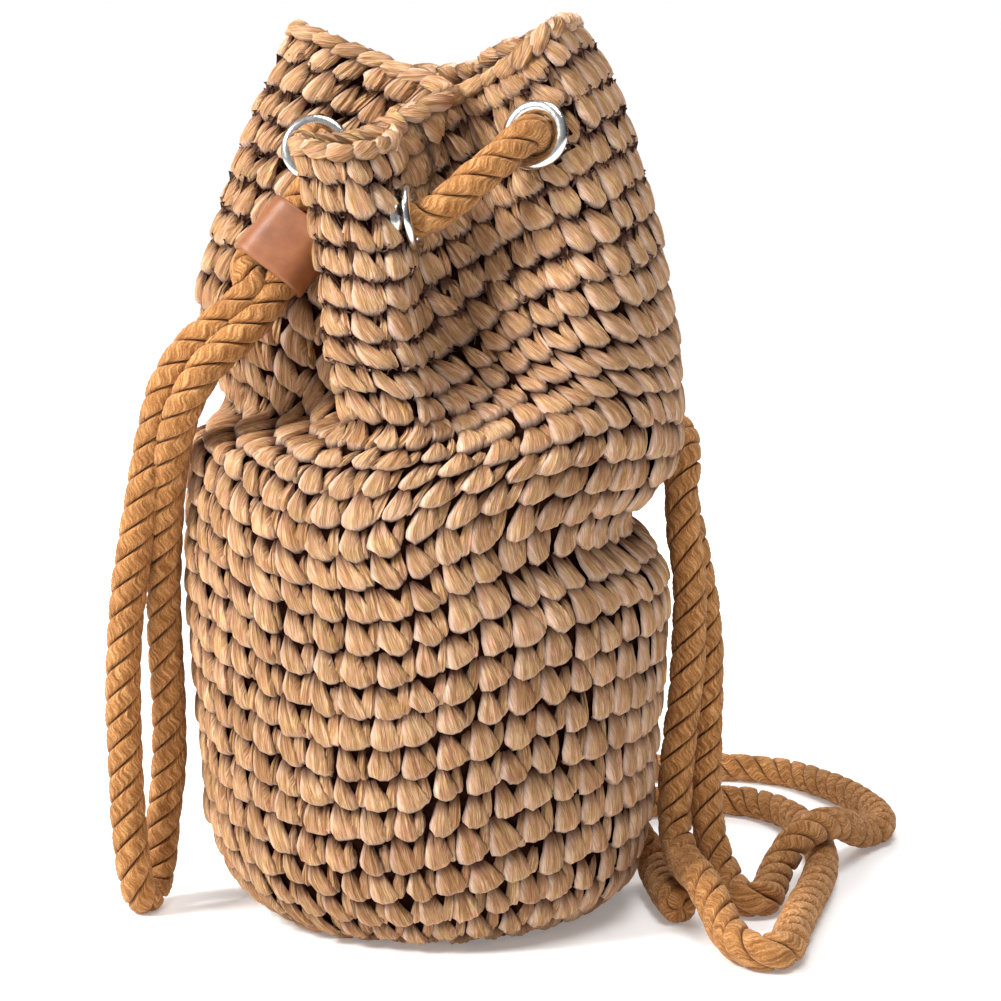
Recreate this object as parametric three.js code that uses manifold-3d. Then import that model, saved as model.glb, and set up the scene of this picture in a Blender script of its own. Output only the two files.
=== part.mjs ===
// Woven straw backpack: a crocheted raffia bucket, gathered at the mouth by one thick rope.
// Millimetres. Z is up, the floor is z = 0, the front of the bag looks along -Y.
// A turn is an angle about Z from +X, counted anticlockwise, in degrees.
import * as THREE from "three";
import Module from "manifold-3d";
import { mergeVertices } from "three/addons/utils/BufferGeometryUtils.js";

const BODY_RADIUS = 102; // the upright lower wall, to the crests of the stitches
const RIM_HEIGHT = 374; // the highest peak of the gathered rim
const WAIST = 192; // height where the folds of the mouth begin
const FOLD_START = 0.13; // share of the height above the waist over which the folds set in
const WALL = 5; // thickness of the crocheted wall
const ROPE_DIAMETER = 15;
const TUBE_RADIUS = ROPE_DIAMETER / 2 - 0.3; // the plain tube that stands for the twisted rope
const ROPE_SIDES = 8;
const PIECE_GAP = 0.3;
const EYELET_HOLE = 17.2; // clear bore of every eyelet
const EYELET_BARREL = 20.4; // outer diameter of its barrel, through the wall
const EYELET_FLANGE = 28.6; // its rolled outer flange
const EYELET_WASHER = 24.6; // its inner washer
const EYELET_FLANGE_HEIGHT = 2.6;
const EYELET_WASHER_HEIGHT = 1.6;
const SLEEVE_LENGTH = 27;
const SLEEVE_LEATHER = 1.5;
const SLEEVE_BORE_WIDE = 2 * ROPE_DIAMETER; // two strands lie side by side in it
const SLEEVE_BORE_THICK = ROPE_DIAMETER + 1;
const KNOT_RADIUS = 12;
const KNOT_HALF_LENGTH = 9;
const COLUMNS = 54; // points round each ring of the bag's skins

// Plain wall, a row for each ring of stitches that changes its outline.
// height: share of RIM_HEIGHT. wide, deep: half width along X and Y, shares of BODY_RADIUS.
// right: how far the ring's middle lies toward +X, share of BODY_RADIUS.
const SECTIONS = [
  { height: 0.0, wide: 0.54, deep: 0.585, right: 0.02 },
  { height: 0.004, wide: 0.645, deep: 0.71, right: 0.02 },
  { height: 0.0134, wide: 0.73, deep: 0.785, right: 0.02 },
  { height: 0.0295, wide: 0.806, deep: 0.842, right: 0.018 },
  { height: 0.051, wide: 0.861, deep: 0.883, right: 0.014 },
  { height: 0.08, wide: 0.904, deep: 0.913, right: 0.008 },
  { height: 0.118, wide: 0.931, deep: 0.931, right: 0.003 },
  { height: 0.171, wide: 0.949, deep: 0.949, right: 0.005 },
  { height: 0.241, wide: 0.97, deep: 0.97, right: 0.005 },
  { height: 0.321, wide: 0.995, deep: 0.995, right: 0.003 },
  { height: 0.401, wide: 1.002, deep: 1.0, right: 0.0 },
  { height: 0.468, wide: 1.005, deep: 0.99, right: 0.01 },
  { height: 0.535, wide: 1.015, deep: 0.98, right: 0.034 },
  { height: 0.628, wide: 1.01, deep: 0.96, right: 0.034 },
  { height: 0.722, wide: 0.98, deep: 0.92, right: 0.02 },
  { height: 0.802, wide: 0.926, deep: 0.863, right: 0.029 },
  { height: 0.882, wide: 0.897, deep: 0.804, right: 0.047 },
  { height: 1.0, wide: 0.882, deep: 0.745, right: 0.098 },
];

// The gathered rim, a row for each crest and valley, from the right lobe by way of the front.
// x, y: share of BODY_RADIUS. z: share of RIM_HEIGHT.
// late: 1 lets the wall lean evenly from the waist to the rim, less folds it in low down,
// more keeps it full and turns it in just under the rim.
const FOLDS = [
  { name: "right_lobe", turn: 0, x: 0.608, y: 0.02, z: 0.997, late: 4.0 },
  { name: "right_lobe_front", turn: -22, x: 0.52, y: -0.39, z: 0.979, late: 2.6 },
  { name: "right_panel", turn: -47, x: 0.36, y: -0.36, z: 0.945, late: 1.6 },
  { name: "valley_floor", turn: -65, x: 0.17, y: -0.15, z: 0.918, late: 0.62 },
  { name: "rope_valley", turn: -79, x: -0.07, y: -0.15, z: 0.896, late: 0.45 },
  { name: "bulge_right", turn: -91, x: -0.115, y: -0.56, z: 0.853, late: 1.5 },
  { name: "bulge_front", turn: -103, x: -0.255, y: -0.755, z: 0.837, late: 2.2 },
  { name: "bulge_left", turn: -115, x: -0.5, y: -0.657, z: 0.848, late: 1.9 },
  { name: "bulge_flank", turn: -124, x: -0.275, y: -0.45, z: 0.856, late: 0.75 },
  { name: "sleeve_valley", turn: -135, x: 0.059, y: -0.284, z: 0.909, late: 0.45 },
  { name: "left_panel", turn: -150, x: -0.157, y: -0.127, z: 0.944, late: 0.8 },
  { name: "left_lobe_front", turn: -168, x: -0.412, y: -0.088, z: 0.973, late: 2.2 },
  { name: "left_lobe", turn: -184, x: -0.549, y: 0.039, z: 0.989, late: 4.0 },
  { name: "left_lobe_back", turn: -205, x: -0.451, y: 0.255, z: 0.979, late: 2.6 },
  { name: "left_back_valley", turn: -225, x: -0.255, y: 0.265, z: 0.963, late: 1.1 },
  { name: "back_left", turn: -247, x: -0.157, y: 0.431, z: 0.955, late: 1.5 },
  { name: "back_panel", turn: -270, x: 0.02, y: 0.49, z: 0.952, late: 2.2 },
  { name: "back_right", turn: -292, x: 0.216, y: 0.431, z: 0.957, late: 1.5 },
  { name: "right_back_valley", turn: -315, x: 0.294, y: 0.245, z: 0.968, late: 1.1 },
  { name: "right_lobe_back", turn: -338, x: 0.51, y: 0.235, z: 0.989, late: 2.6 },
];

// Folds whose foot lies beside their top: turn, reach along the rim, and by how far the foot is turned.
const LEANS = [
  { name: "bulge_flank", turn: -122, reach: 16, by: 13 },
  { name: "bulge_right", turn: -85, reach: 12, by: -6 },
];
const LEAN_TOP = 0.74; // the leans end at this share of the way from the waist to the rim

// Two creases pressed into the wall. depth: share of BODY_RADIUS.
// height, below, above: share of RIM_HEIGHT, the crease's line and how far it fades each way.
// turn, reach: its middle and how far round it fades, degrees. slope: rise per degree.
const CREASES = [
  { name: "right_slump", turn: 0, reach: 82, round: false, depth: 0.176, height: 0.449, below: 0.04, above: 0.035, slope: 0.00053 },
  { name: "left_shelf", turn: -150, reach: 38, round: true, depth: 0.304, height: 0.57, below: 0.0214, above: 0.075, slope: 0 },
];

// Eyelets. turn and height (share of RIM_HEIGHT, measured before the folds) place each one.
const EYELETS = [
  { name: "eyelet_left_front", turn: -158.5, height: 0.882 },
  { name: "eyelet_bulge_left", turn: -124.5, height: 0.895 },
  { name: "eyelet_bulge_right", turn: -88.3, height: 0.872 },
  { name: "eyelet_right_front", turn: -48, height: 0.906 },
  { name: "eyelet_right_back", turn: 36, height: 0.869 },
  { name: "eyelet_left_back", turn: 145, height: 0.869 },
  { name: "eyelet_heel_right", turn: 62, height: 0.066 },
  { name: "eyelet_heel_left", turn: 112, height: 0.066 },
  { name: "eyelet_heel_side", turn: 20, height: 0.062 },
];

// Rope routes, chosen by eye, [x, y, z]. A string names an eyelet that the rope goes straight
// through: "in" toward the inside of the bag, "out" from the inside.
const PULL_LOOP_LEFT = [
  [-69, -47, 260], [-82, -50, 247], [-95, -49, 235], [-104, -46, 220], [-109, -42, 203],
  [-114, -39, 180], [-119, -36, 155], [-123, -34, 126], [-125, -32, 96], [-125, -30, 66],
  [-124, -29, 40], [-122, -29, 20],
];
const PULL_LOOP_RIGHT = [
  [-115, -5, 20], [-113, -7, 38], [-110, -10, 60], [-109, -14, 88], [-109.5, -18, 114],
  [-109, -24, 140], [-107, -31, 163], [-104, -39, 183], [-100, -47, 201], [-94, -54, 217],
  [-85, -56, 231], [-74, -53, 242], [-65, -49, 252],
];
const GATHER_LEFT = [[-42.5, -33.5, 316], [-43.5, -36, 306]];
const GATHER_RIGHT = [[-31.5, -36.5, 294]];
const PULL_LOOP_TIP = [[-120.5, -26, 10], [-119.5, -21, 6.4], [-118, -14, 6.4], [-116.5, -8.5, 10]];
const LEFT_STRAP = [
  [-48, 66, 306], [-43, 77, 293], [-32, 89, 278], [-12, 102, 262], [20, 109, 246],
  [52, 102, 230], [80, 82, 216], [93, 69, 209.5], [102.5, 54, 204.5], [109.5, 34, 197.5],
  [110, 18, 188], [108, 9, 172], [109, 5, 155], [111, 2, 138], [111, 1, 118], [110, 0, 95],
  [107.5, 0, 72], [105.5, -1, 50], [105, -4, 35], [106, -14, 26], [108, -30, 22.8],
  [110.5, -46, 22.8], [113, -59, 21.5], [116.5, -72, 15.5], [120, -85, 9.5], [125, -98, 7.7],
  [133, -104.5, 7.5], [140.5, -97, 7.5], [146, -76, 7.5], [154, -46, 7.5], [165, -8, 7.5],
  [173, 28, 7.5], [176, 63, 7.5], [174, 105, 7.5], [167, 131, 7.5], [153, 150, 7.5],
  [132, 156, 7.5], [105, 149, 7.5], [80, 133, 7.5], [64, 117, 10],
];
const RIGHT_STRAP = [
  [57, 66, 306], [61, 78, 293], [69, 89, 275], [81, 95, 255], [93, 95, 236], [102, 86, 218],
  [108, 72, 199], [110, 52, 180], [112.5, 38, 162], [115.5, 27, 144], [118.5, 19.5, 126],
  [120, 16.5, 106], [120, 15.5, 80], [119.5, 14, 58], [119.5, 9, 41], [121, 2, 27],
  [124.5, -7, 16], [128.5, -19, 9.5], [133.5, -29.5, 7.6], [140.5, -28, 7.5], [144.5, -15, 8],
  [150, 4, 11.5], [158, 18, 18.5], [167, 29, 22.8], [177, 41, 22.8], [187, 57, 18.5],
  [195, 74, 11.5], [202.5, 86, 8], [210, 97, 7.5], [213.5, 115, 7.5], [212, 142, 7.5],
  [206, 169, 7.5], [196.5, 193, 7.5], [182, 217, 7.5], [158, 231, 7.5], [128, 233, 7.5],
  [96, 224, 7.5], [64, 205, 7.5], [32, 180, 7.5], [4, 154, 7.5], [-18, 131, 8], [-33, 115, 11],
];
// The short end of the strap, placed from the eyelet at the heel's side: x and y from its middle, then z.
const STRAP_END = [[-32.3, 23.8, 28], [-30.3, 11.8, 28], [-25.3, -0.2, 29]];
const STRAP_END_FLOOR = [
  [11.2, -2.2, 12.5], [13.2, -16.2, 7.6], [14.2, -33.2, 7.5], [16.2, -53.2, 7.5], [19.7, -75.2, 7.5],
];
const VALLEY_STRETCH = [[10, -62, 294], [19, -61.5, 302], [29.5, -57, 311]];

const rad = (degrees) => (degrees * Math.PI) / 180;
const wrap = (degrees) => ((((degrees + 180) % 360) + 360) % 360) - 180;
const clamp = (v, low, high) => Math.min(high, Math.max(low, v));
const bell = (v) => Math.exp(-v * v);

function sectionAt(share) {
  let i = 1;
  while (i < SECTIONS.length - 1 && SECTIONS[i].height < share) i += 1;
  const a = SECTIONS[i - 1];
  const b = SECTIONS[i];
  const t = clamp((share - a.height) / (b.height - a.height), 0, 1);
  const mix = (key) => (a[key] + (b[key] - a[key]) * t) * BODY_RADIUS;
  return { wide: mix("wide"), deep: mix("deep"), right: mix("right") };
}

// Smooth closed curve through the fold rows: a value of each key at any turn.
const rows = FOLDS.slice().sort((a, b) => a.turn - b.turn);
function foldAt(turn) {
  const n = rows.length;
  const first = rows[0].turn;
  const t = ((((turn - first) % 360) + 360) % 360) + first;
  let i = n - 1;
  while (i > 0 && rows[i].turn > t) i -= 1;
  const at = (k) => {
    const lap = Math.floor(k / n);
    const row = rows[((k % n) + n) % n];
    return { row, turn: row.turn + 360 * lap };
  };
  const [p, a, b, c] = [at(i - 1), at(i), at(i + 1), at(i + 2)];
  const h = b.turn - a.turn;
  const s = (t - a.turn) / h;
  const value = (key) => {
    const ma = (b.row[key] - p.row[key]) / (b.turn - p.turn);
    const mb = (c.row[key] - a.row[key]) / (c.turn - a.turn);
    return (
      (2 * s ** 3 - 3 * s ** 2 + 1) * a.row[key] +
      (s ** 3 - 2 * s ** 2 + s) * h * ma +
      (-2 * s ** 3 + 3 * s ** 2) * b.row[key] +
      (s ** 3 - s ** 2) * h * mb
    );
  };
  return {
    x: value("x") * BODY_RADIUS,
    y: value("y") * BODY_RADIUS,
    z: value("z") * RIM_HEIGHT,
    late: value("late"),
  };
}

// How far the creases press the wall in at a turn and a height.
function pressed(turn, height) {
  let sum = 0;
  for (const c of CREASES) {
    const away = wrap(turn - c.turn);
    const round = c.round ? bell(away / c.reach) : clamp(1 - (away / c.reach) ** 2, 0, 1);
    const line = (c.height + c.slope * clamp(away, -c.reach, c.reach)) * RIM_HEIGHT;
    const fade = (height < line ? c.below : c.above) * RIM_HEIGHT;
    sum += c.depth * BODY_RADIUS * round * bell((height - line) / fade);
  }
  return sum;
}

// A point of the outer skin. height runs from 0 to RIM_HEIGHT before the folds lower the rim.
function leaned(turn, q) {
  const left = Math.max(0, 1 - (q / LEAN_TOP) ** 2.5);
  return LEANS.reduce((sum, l) => sum + l.by * left * bell(wrap(turn - l.turn) / l.reach), 0);
}

function skin(turn, height) {
  const s = sectionAt(height / RIM_HEIGHT);
  const press = pressed(turn, height);
  const x = s.right + (s.wide - press) * Math.cos(rad(turn));
  const y = (s.deep - press) * Math.sin(rad(turn));
  if (height <= WAIST) return new THREE.Vector3(x, y, height);
  const q = (height - WAIST) / (RIM_HEIGHT - WAIST);
  const rim = foldAt(turn - leaned(turn, q));
  const b = q ** rim.late * (1 - bell(q / FOLD_START));
  return new THREE.Vector3(x + (rim.x - x) * b, y + (rim.y - y) * b, WAIST + (rim.z - WAIST) * q);
}

// The skin's outward direction, averaged over a small patch.
function outward(turn, height, patch = 1) {
  if (height < 0.5) return new THREE.Vector3(0, 0, -1);
  const low = Math.max(0, height - 3 * patch);
  const high = Math.min(RIM_HEIGHT, height + 3 * patch);
  const across = skin(turn + 1.5 * patch, height).sub(skin(turn - 1.5 * patch, height));
  const up = skin(turn, high).sub(skin(turn, low));
  return across.cross(up).normalize();
}

// Turns that divide a ring of the skin into equal lengths, starting at the middle of the back.
function evenTurns(height, count) {
  const fine = 360;
  const lengths = [0];
  let last = skin(90, height);
  for (let i = 1; i <= fine; i += 1) {
    const next = skin(90 + (i * 360) / fine, height);
    lengths.push(lengths[i - 1] + next.distanceTo(last));
    last = next;
  }
  const turns = [];
  let k = 0;
  for (let j = 0; j < count; j += 1) {
    const want = (lengths[fine] * j) / count;
    while (lengths[k + 1] < want) k += 1;
    const part = (want - lengths[k]) / (lengths[k + 1] - lengths[k]);
    turns.push(90 + ((k + part) * 360) / fine);
  }
  return turns;
}

const OUTER_ROWS = [0, 0.006, 0.022, 0.051, 0.09, 0.15, 0.22, 0.3, 0.37, 0.42, 0.45, 0.485,
  0.53, 0.555, 0.572, 0.605, 0.65, 0.7, 0.75, 0.8, 0.85, 0.9, 0.945, 0.975, 1];
const INNER_ROWS = [0, 0.0295, 0.08, 0.2, 0.35, 0.44, 0.49, 0.53, 0.57, 0.62, 0.7, 0.78, 0.86,
  0.94, 1];

function bagShell() {
  const points = [];
  const index = [];
  const ring = (share, inset) => {
    const height = share * RIM_HEIGHT;
    const start = points.length;
    for (const turn of evenTurns(height, COLUMNS)) {
      const p = skin(turn, height);
      if (inset) p.addScaledVector(outward(turn, height, 2), -inset);
      points.push(p);
    }
    return start;
  };
  const join = (a, b) => {
    for (let j = 0; j < COLUMNS; j += 1) {
      const k = (j + 1) % COLUMNS;
      index.push(a + j, a + k, b + k, a + j, b + k, b + j);
    }
  };
  const cap = (start, z, up) => {
    points.push(new THREE.Vector3(0, 0, z));
    const middle = points.length - 1;
    for (let j = 0; j < COLUMNS; j += 1) {
      const k = (j + 1) % COLUMNS;
      if (up) index.push(start + j, start + k, middle);
      else index.push(start + k, start + j, middle);
    }
  };
  const outer = OUTER_ROWS.map((share) => ring(share, 0));
  const inner = INNER_ROWS.map((share) => ring(share, WALL)).reverse();
  const order = [...outer, ...inner];
  for (let i = 1; i < order.length; i += 1) join(order[i - 1], order[i]);
  cap(outer[0], 0, false);
  cap(inner[inner.length - 1], WALL, true);
  const geometry = new THREE.BufferGeometry().setFromPoints(points);
  geometry.setIndex(index);
  return geometry;
}

const wasm = await Module();
wasm.setup();

function toSolid(geometry) {
  const merged = mergeVertices(
    new THREE.BufferGeometry()
      .setAttribute("position", geometry.getAttribute("position"))
      .setIndex(geometry.index),
    1e-4,
  );
  return new wasm.Manifold(
    new wasm.Mesh({
      numProp: 3,
      vertProperties: new Float32Array(merged.attributes.position.array),
      triVerts: new Uint32Array(merged.index.array),
    }),
  );
}

function fromSolid(solid) {
  const m = solid.getMesh();
  const geometry = new THREE.BufferGeometry();
  const flat = new Float32Array(m.numVert * 3);
  for (let i = 0; i < m.numVert; i += 1) {
    flat.set(m.vertProperties.subarray(i * m.numProp, i * m.numProp + 3), i * 3);
  }
  geometry.setAttribute("position", new THREE.BufferAttribute(flat, 3));
  geometry.setIndex(new THREE.BufferAttribute(new Uint32Array(m.triVerts), 1));
  return geometry;
}

// Where an eyelet sits: its middle on the skin and the direction out through it.
const seats = new Map(
  EYELETS.map((e) => {
    const height = e.height * RIM_HEIGHT;
    return [e.name, { at: skin(e.turn, height), out: outward(e.turn, height, 2.4) }];
  }),
);

function alongOut(seat, offset) {
  return seat.at.clone().addScaledVector(seat.out, offset);
}

// A cylinder on a seat's axis from one offset to another, offsets counted outward from the skin.
function seatCylinder(seat, radius, from, to, sides = 16) {
  const corner = radius / Math.cos(Math.PI / sides);
  const geometry = new THREE.CylinderGeometry(corner, corner, to - from, sides);
  const turned = new THREE.Quaternion().setFromUnitVectors(new THREE.Vector3(0, 1, 0), seat.out);
  geometry.applyQuaternion(turned);
  const middle = alongOut(seat, (from + to) / 2);
  geometry.translate(middle.x, middle.y, middle.z);
  return toSolid(geometry);
}

const SEAT_OUT = -0.4; // the flange's back lies this far from the skin, sunk into the stitches
const SEAT_IN = -WALL; // and the washer's on the inner side
function bagBody() {
  let solid = toSolid(bagShell());
  for (const seat of seats.values()) {
    const hole = seatCylinder(seat, EYELET_BARREL / 2 + PIECE_GAP, SEAT_IN - 6, SEAT_OUT + 6);
    const front = seatCylinder(seat, EYELET_FLANGE / 2 + PIECE_GAP, SEAT_OUT, SEAT_OUT + 6);
    const back = seatCylinder(seat, EYELET_WASHER / 2 + PIECE_GAP, SEAT_IN - 4, SEAT_IN);
    solid = solid.subtract(hole).subtract(front).subtract(back);
  }
  const bodies = solid.decompose().sort((a, b) => b.volume() - a.volume());
  return fromSolid(bodies[0]);
}

function eyeletGeometry(seat) {
  const hole = EYELET_HOLE / 2;
  const barrel = EYELET_BARREL / 2;
  const flange = EYELET_FLANGE / 2;
  const washer = EYELET_WASHER / 2;
  const top = SEAT_OUT + PIECE_GAP;
  const low = SEAT_IN - PIECE_GAP;
  const profile = [
    [hole, low - EYELET_WASHER_HEIGHT],
    [washer, low - EYELET_WASHER_HEIGHT * 0.5],
    [washer, low],
    [barrel, low],
    [barrel, top],
    [flange, top],
    [flange - 2, top + EYELET_FLANGE_HEIGHT],
    [hole, top + EYELET_FLANGE_HEIGHT * 0.6],
  ];
  const points = profile.map(([r, y]) => new THREE.Vector2(r, y));
  points.push(points[0].clone());
  const geometry = new THREE.LatheGeometry(points, 16);
  const turned = new THREE.Quaternion().setFromUnitVectors(new THREE.Vector3(0, 1, 0), seat.out);
  geometry.applyQuaternion(turned);
  geometry.translate(seat.at.x, seat.at.y, seat.at.z);
  return geometry;
}

// Straight run of a rope through an eyelet, and the last short run before it.
const RUN = 6;
const APPROACH = 5;
function through(name, way) {
  const seat = seats.get(name);
  const run = [alongOut(seat, RUN), alongOut(seat, -WALL / 2), alongOut(seat, -WALL - 5)];
  return way === "in" ? run : run.reverse();
}
function leaving(name) {
  const seat = seats.get(name);
  return [alongOut(seat, RUN), alongOut(seat, RUN + APPROACH)];
}

function ropeGeometry(points, steps) {
  const path = new THREE.CatmullRomCurve3(
    points.map((p) => (p.isVector3 ? p : new THREE.Vector3(...p))),
    false,
    "centripetal",
  );
  path.arcLengthDivisions = 40 * points.length;
  const section = new THREE.Shape();
  for (let i = 0; i < ROPE_SIDES; i += 1) {
    const a = ((i + 0.5) * 2 * Math.PI) / ROPE_SIDES;
    const x = TUBE_RADIUS * Math.cos(a);
    const y = TUBE_RADIUS * Math.sin(a);
    if (i === 0) section.moveTo(x, y);
    else section.lineTo(x, y);
  }
  section.closePath();
  return new THREE.ExtrudeGeometry(section, { steps, extrudePath: path, curveSegments: 1 });
}

// The leather sleeve holds both strands of the pull loop. Its frame: along the ropes, across both.
const SLEEVE_TOP = new THREE.Vector3(-46.5, -38.5, 288);
const SLEEVE_BOTTOM = new THREE.Vector3(-62.5, -42.5, 268);
const sleeveMiddle = SLEEVE_TOP.clone().add(SLEEVE_BOTTOM).multiplyScalar(0.5);
const sleeveDown = SLEEVE_BOTTOM.clone().sub(SLEEVE_TOP).normalize();
const sleeveAcross = new THREE.Vector3(0.779, -0.26, -0.571)
  .addScaledVector(sleeveDown, -new THREE.Vector3(0.779, -0.26, -0.571).dot(sleeveDown))
  .normalize();
const STRAND_SPACING = TUBE_RADIUS + 0.25;
function inSleeve(side, down) {
  return sleeveMiddle
    .clone()
    .addScaledVector(sleeveAcross, side * STRAND_SPACING)
    .addScaledVector(sleeveDown, down);
}

function stadium(wide, thick, target) {
  const r = thick / 2;
  const flat = wide / 2 - r;
  target.moveTo(flat, -r);
  target.absarc(flat, 0, r, -Math.PI / 2, Math.PI / 2, false);
  target.lineTo(-flat, r);
  target.absarc(-flat, 0, r, Math.PI / 2, (3 * Math.PI) / 2, false);
  target.closePath();
  return target;
}

function sleeveGeometry() {
  const wide = SLEEVE_BORE_WIDE + 1;
  const thick = SLEEVE_BORE_THICK;
  const outline = stadium(wide + 2 * SLEEVE_LEATHER, thick + 2 * SLEEVE_LEATHER, new THREE.Shape());
  outline.holes.push(stadium(wide, thick, new THREE.Path()));
  const geometry = new THREE.ExtrudeGeometry(outline, {
    depth: SLEEVE_LENGTH,
    steps: 1,
    bevelEnabled: false,
    curveSegments: 8,
  });
  geometry.translate(0, 0, -SLEEVE_LENGTH / 2);
  const facing = sleeveDown.clone().cross(sleeveAcross);
  const frame = new THREE.Matrix4().makeBasis(sleeveAcross, facing, sleeveDown);
  geometry.applyMatrix4(frame);
  geometry.translate(sleeveMiddle.x, sleeveMiddle.y, sleeveMiddle.z);
  return geometry;
}

function knotGeometry(name) {
  const seat = seats.get(name);
  const profile = [];
  for (let i = 0; i <= 8; i += 1) {
    const a = -Math.PI / 2 + (i * Math.PI) / 8;
    const r = i === 0 || i === 8 ? 0 : KNOT_RADIUS * Math.cos(a) ** 0.6;
    profile.push(new THREE.Vector2(r, KNOT_HALF_LENGTH * Math.sin(a)));
  }
  const geometry = new THREE.LatheGeometry(profile, 14);
  const turned = new THREE.Quaternion().setFromUnitVectors(new THREE.Vector3(0, 1, 0), seat.out);
  geometry.applyQuaternion(turned);
  const middle = alongOut(seat, -WALL - 5 - PIECE_GAP - KNOT_HALF_LENGTH);
  geometry.translate(middle.x, middle.y, middle.z);
  return geometry;
}

const straw = new THREE.MeshStandardMaterial({ name: "straw", color: 0xcfa677, roughness: 0.8 });
const rope = new THREE.MeshStandardMaterial({ name: "rope", color: 0xa9713e, roughness: 0.95 });
const metal = new THREE.MeshStandardMaterial({
  name: "eyelet_metal",
  color: 0xd9dadb,
  roughness: 0.25,
  metalness: 1,
});
const leather = new THREE.MeshStandardMaterial({ name: "leather", color: 0xa9683d, roughness: 0.55 });

const part = new THREE.Group();
function add(name, geometry, material) {
  const mesh = new THREE.Mesh(geometry, material);
  mesh.name = name;
  part.add(mesh);
}

// Cuts a rope's first or last point back along its line, so that two lengths of rope don't touch.
function shorten(points, atStart, atEnd) {
  const list = points.map((p) => (p.isVector3 ? p.clone() : new THREE.Vector3(...p)));
  const cut = (a, b) => a.add(b.clone().sub(a).normalize().multiplyScalar(PIECE_GAP / 2));
  if (atStart) cut(list[0], list[1]);
  if (atEnd) cut(list[list.length - 1], list[list.length - 2]);
  return list;
}

const pullLoop = [
  ...leaving("eyelet_left_front"),
  ...GATHER_LEFT,
  inSleeve(-1, -SLEEVE_LENGTH / 2 - 3),
  inSleeve(-1, 0),
  inSleeve(-1, SLEEVE_LENGTH / 2 + 3),
  ...PULL_LOOP_LEFT,
  ...PULL_LOOP_TIP,
  ...PULL_LOOP_RIGHT,
  inSleeve(1, SLEEVE_LENGTH / 2 + 3),
  inSleeve(1, 0),
  inSleeve(1, -SLEEVE_LENGTH / 2 - 3),
  ...GATHER_RIGHT,
  ...leaving("eyelet_bulge_left").reverse(),
];
const rightLacing = [
  ...through("eyelet_bulge_left", "in"),
  ...through("eyelet_bulge_right", "out"),
  ...VALLEY_STRETCH,
  ...through("eyelet_right_front", "in"),
  [51, -10, 316],
  [54, 10, 314],
  ...through("eyelet_right_back", "out"),
];
const leftLacing = [
  ...through("eyelet_left_back", "in"),
  [-52, 14, 312],
  [-48, 2, 312],
  ...through("eyelet_left_front", "out"),
];
const leftStrap = [
  ...leaving("eyelet_left_back"),
  ...LEFT_STRAP,
  ...through("eyelet_heel_right", "in"),
];
const rightStrap = [
  ...leaving("eyelet_right_back"),
  ...RIGHT_STRAP,
  ...through("eyelet_heel_left", "in"),
];
const fromHeelSide = ([x, y, z]) => {
  const { at } = seats.get("eyelet_heel_side");
  return [at.x + x, at.y + y, z];
};
const strapEnd = [
  ...STRAP_END.map(fromHeelSide),
  ...through("eyelet_heel_side", "out"),
  ...STRAP_END_FLOOR.map(fromHeelSide),
];

add("bag_body", bagBody(), straw);
for (const [name, seat] of seats) add(name, eyeletGeometry(seat), metal);
add("pull_loop", ropeGeometry(shorten(pullLoop, true, true), 36), rope);
add("left_strap", ropeGeometry(shorten(leftStrap, true, false), 40), rope);
add("right_strap", ropeGeometry(shorten(rightStrap, true, false), 40), rope);
add("right_lacing", ropeGeometry(shorten(rightLacing, true, true), 22), rope);
add("left_lacing", ropeGeometry(shorten(leftLacing, true, true), 8), rope);
add("left_strap_end", ropeGeometry(shorten(strapEnd, false, false), 9), rope);
add("left_strap_knot", knotGeometry("eyelet_heel_right"), rope);
add("right_strap_knot", knotGeometry("eyelet_heel_left"), rope);
add("leather_sleeve", sleeveGeometry(), leather);

export default part;
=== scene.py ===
# Woven straw backpack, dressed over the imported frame.
# Tables and routes are in millimetres, as in the part's source; meshes are made in metres.
# A turn is an angle about Z from +X, counted anticlockwise, in degrees. The front looks along -Y.
import math

import bmesh
import bpy
import numpy as np

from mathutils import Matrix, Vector


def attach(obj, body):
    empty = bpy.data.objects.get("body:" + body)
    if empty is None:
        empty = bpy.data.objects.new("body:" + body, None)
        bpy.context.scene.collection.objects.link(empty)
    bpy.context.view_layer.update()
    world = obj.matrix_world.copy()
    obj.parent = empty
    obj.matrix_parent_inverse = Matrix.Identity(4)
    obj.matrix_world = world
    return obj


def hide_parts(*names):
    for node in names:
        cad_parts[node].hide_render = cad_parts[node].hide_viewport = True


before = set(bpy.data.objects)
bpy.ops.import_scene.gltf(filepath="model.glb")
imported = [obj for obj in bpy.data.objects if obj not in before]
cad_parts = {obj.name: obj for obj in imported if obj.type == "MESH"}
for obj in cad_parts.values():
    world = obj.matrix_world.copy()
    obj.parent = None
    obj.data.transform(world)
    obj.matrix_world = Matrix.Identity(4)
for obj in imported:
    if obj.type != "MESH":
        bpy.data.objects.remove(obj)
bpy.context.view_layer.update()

MM = 0.001
BODY_RADIUS = 102.0
RIM_HEIGHT = 374.0
WAIST = 192.0
FOLD_START = 0.13
WALL = 5.0
ROPE_DIAMETER = 15.0
EYELET_HOLE = 17.2
EYELET_BARREL = 20.4
EYELET_FLANGE = 28.6
EYELET_WASHER = 24.6
EYELET_FLANGE_HEIGHT = 2.6
EYELET_WASHER_HEIGHT = 1.6
SLEEVE_LENGTH = 27.0
SLEEVE_LEATHER = 1.5
KNOT_RADIUS = 12.0
KNOT_HALF_LENGTH = 9.0

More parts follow.
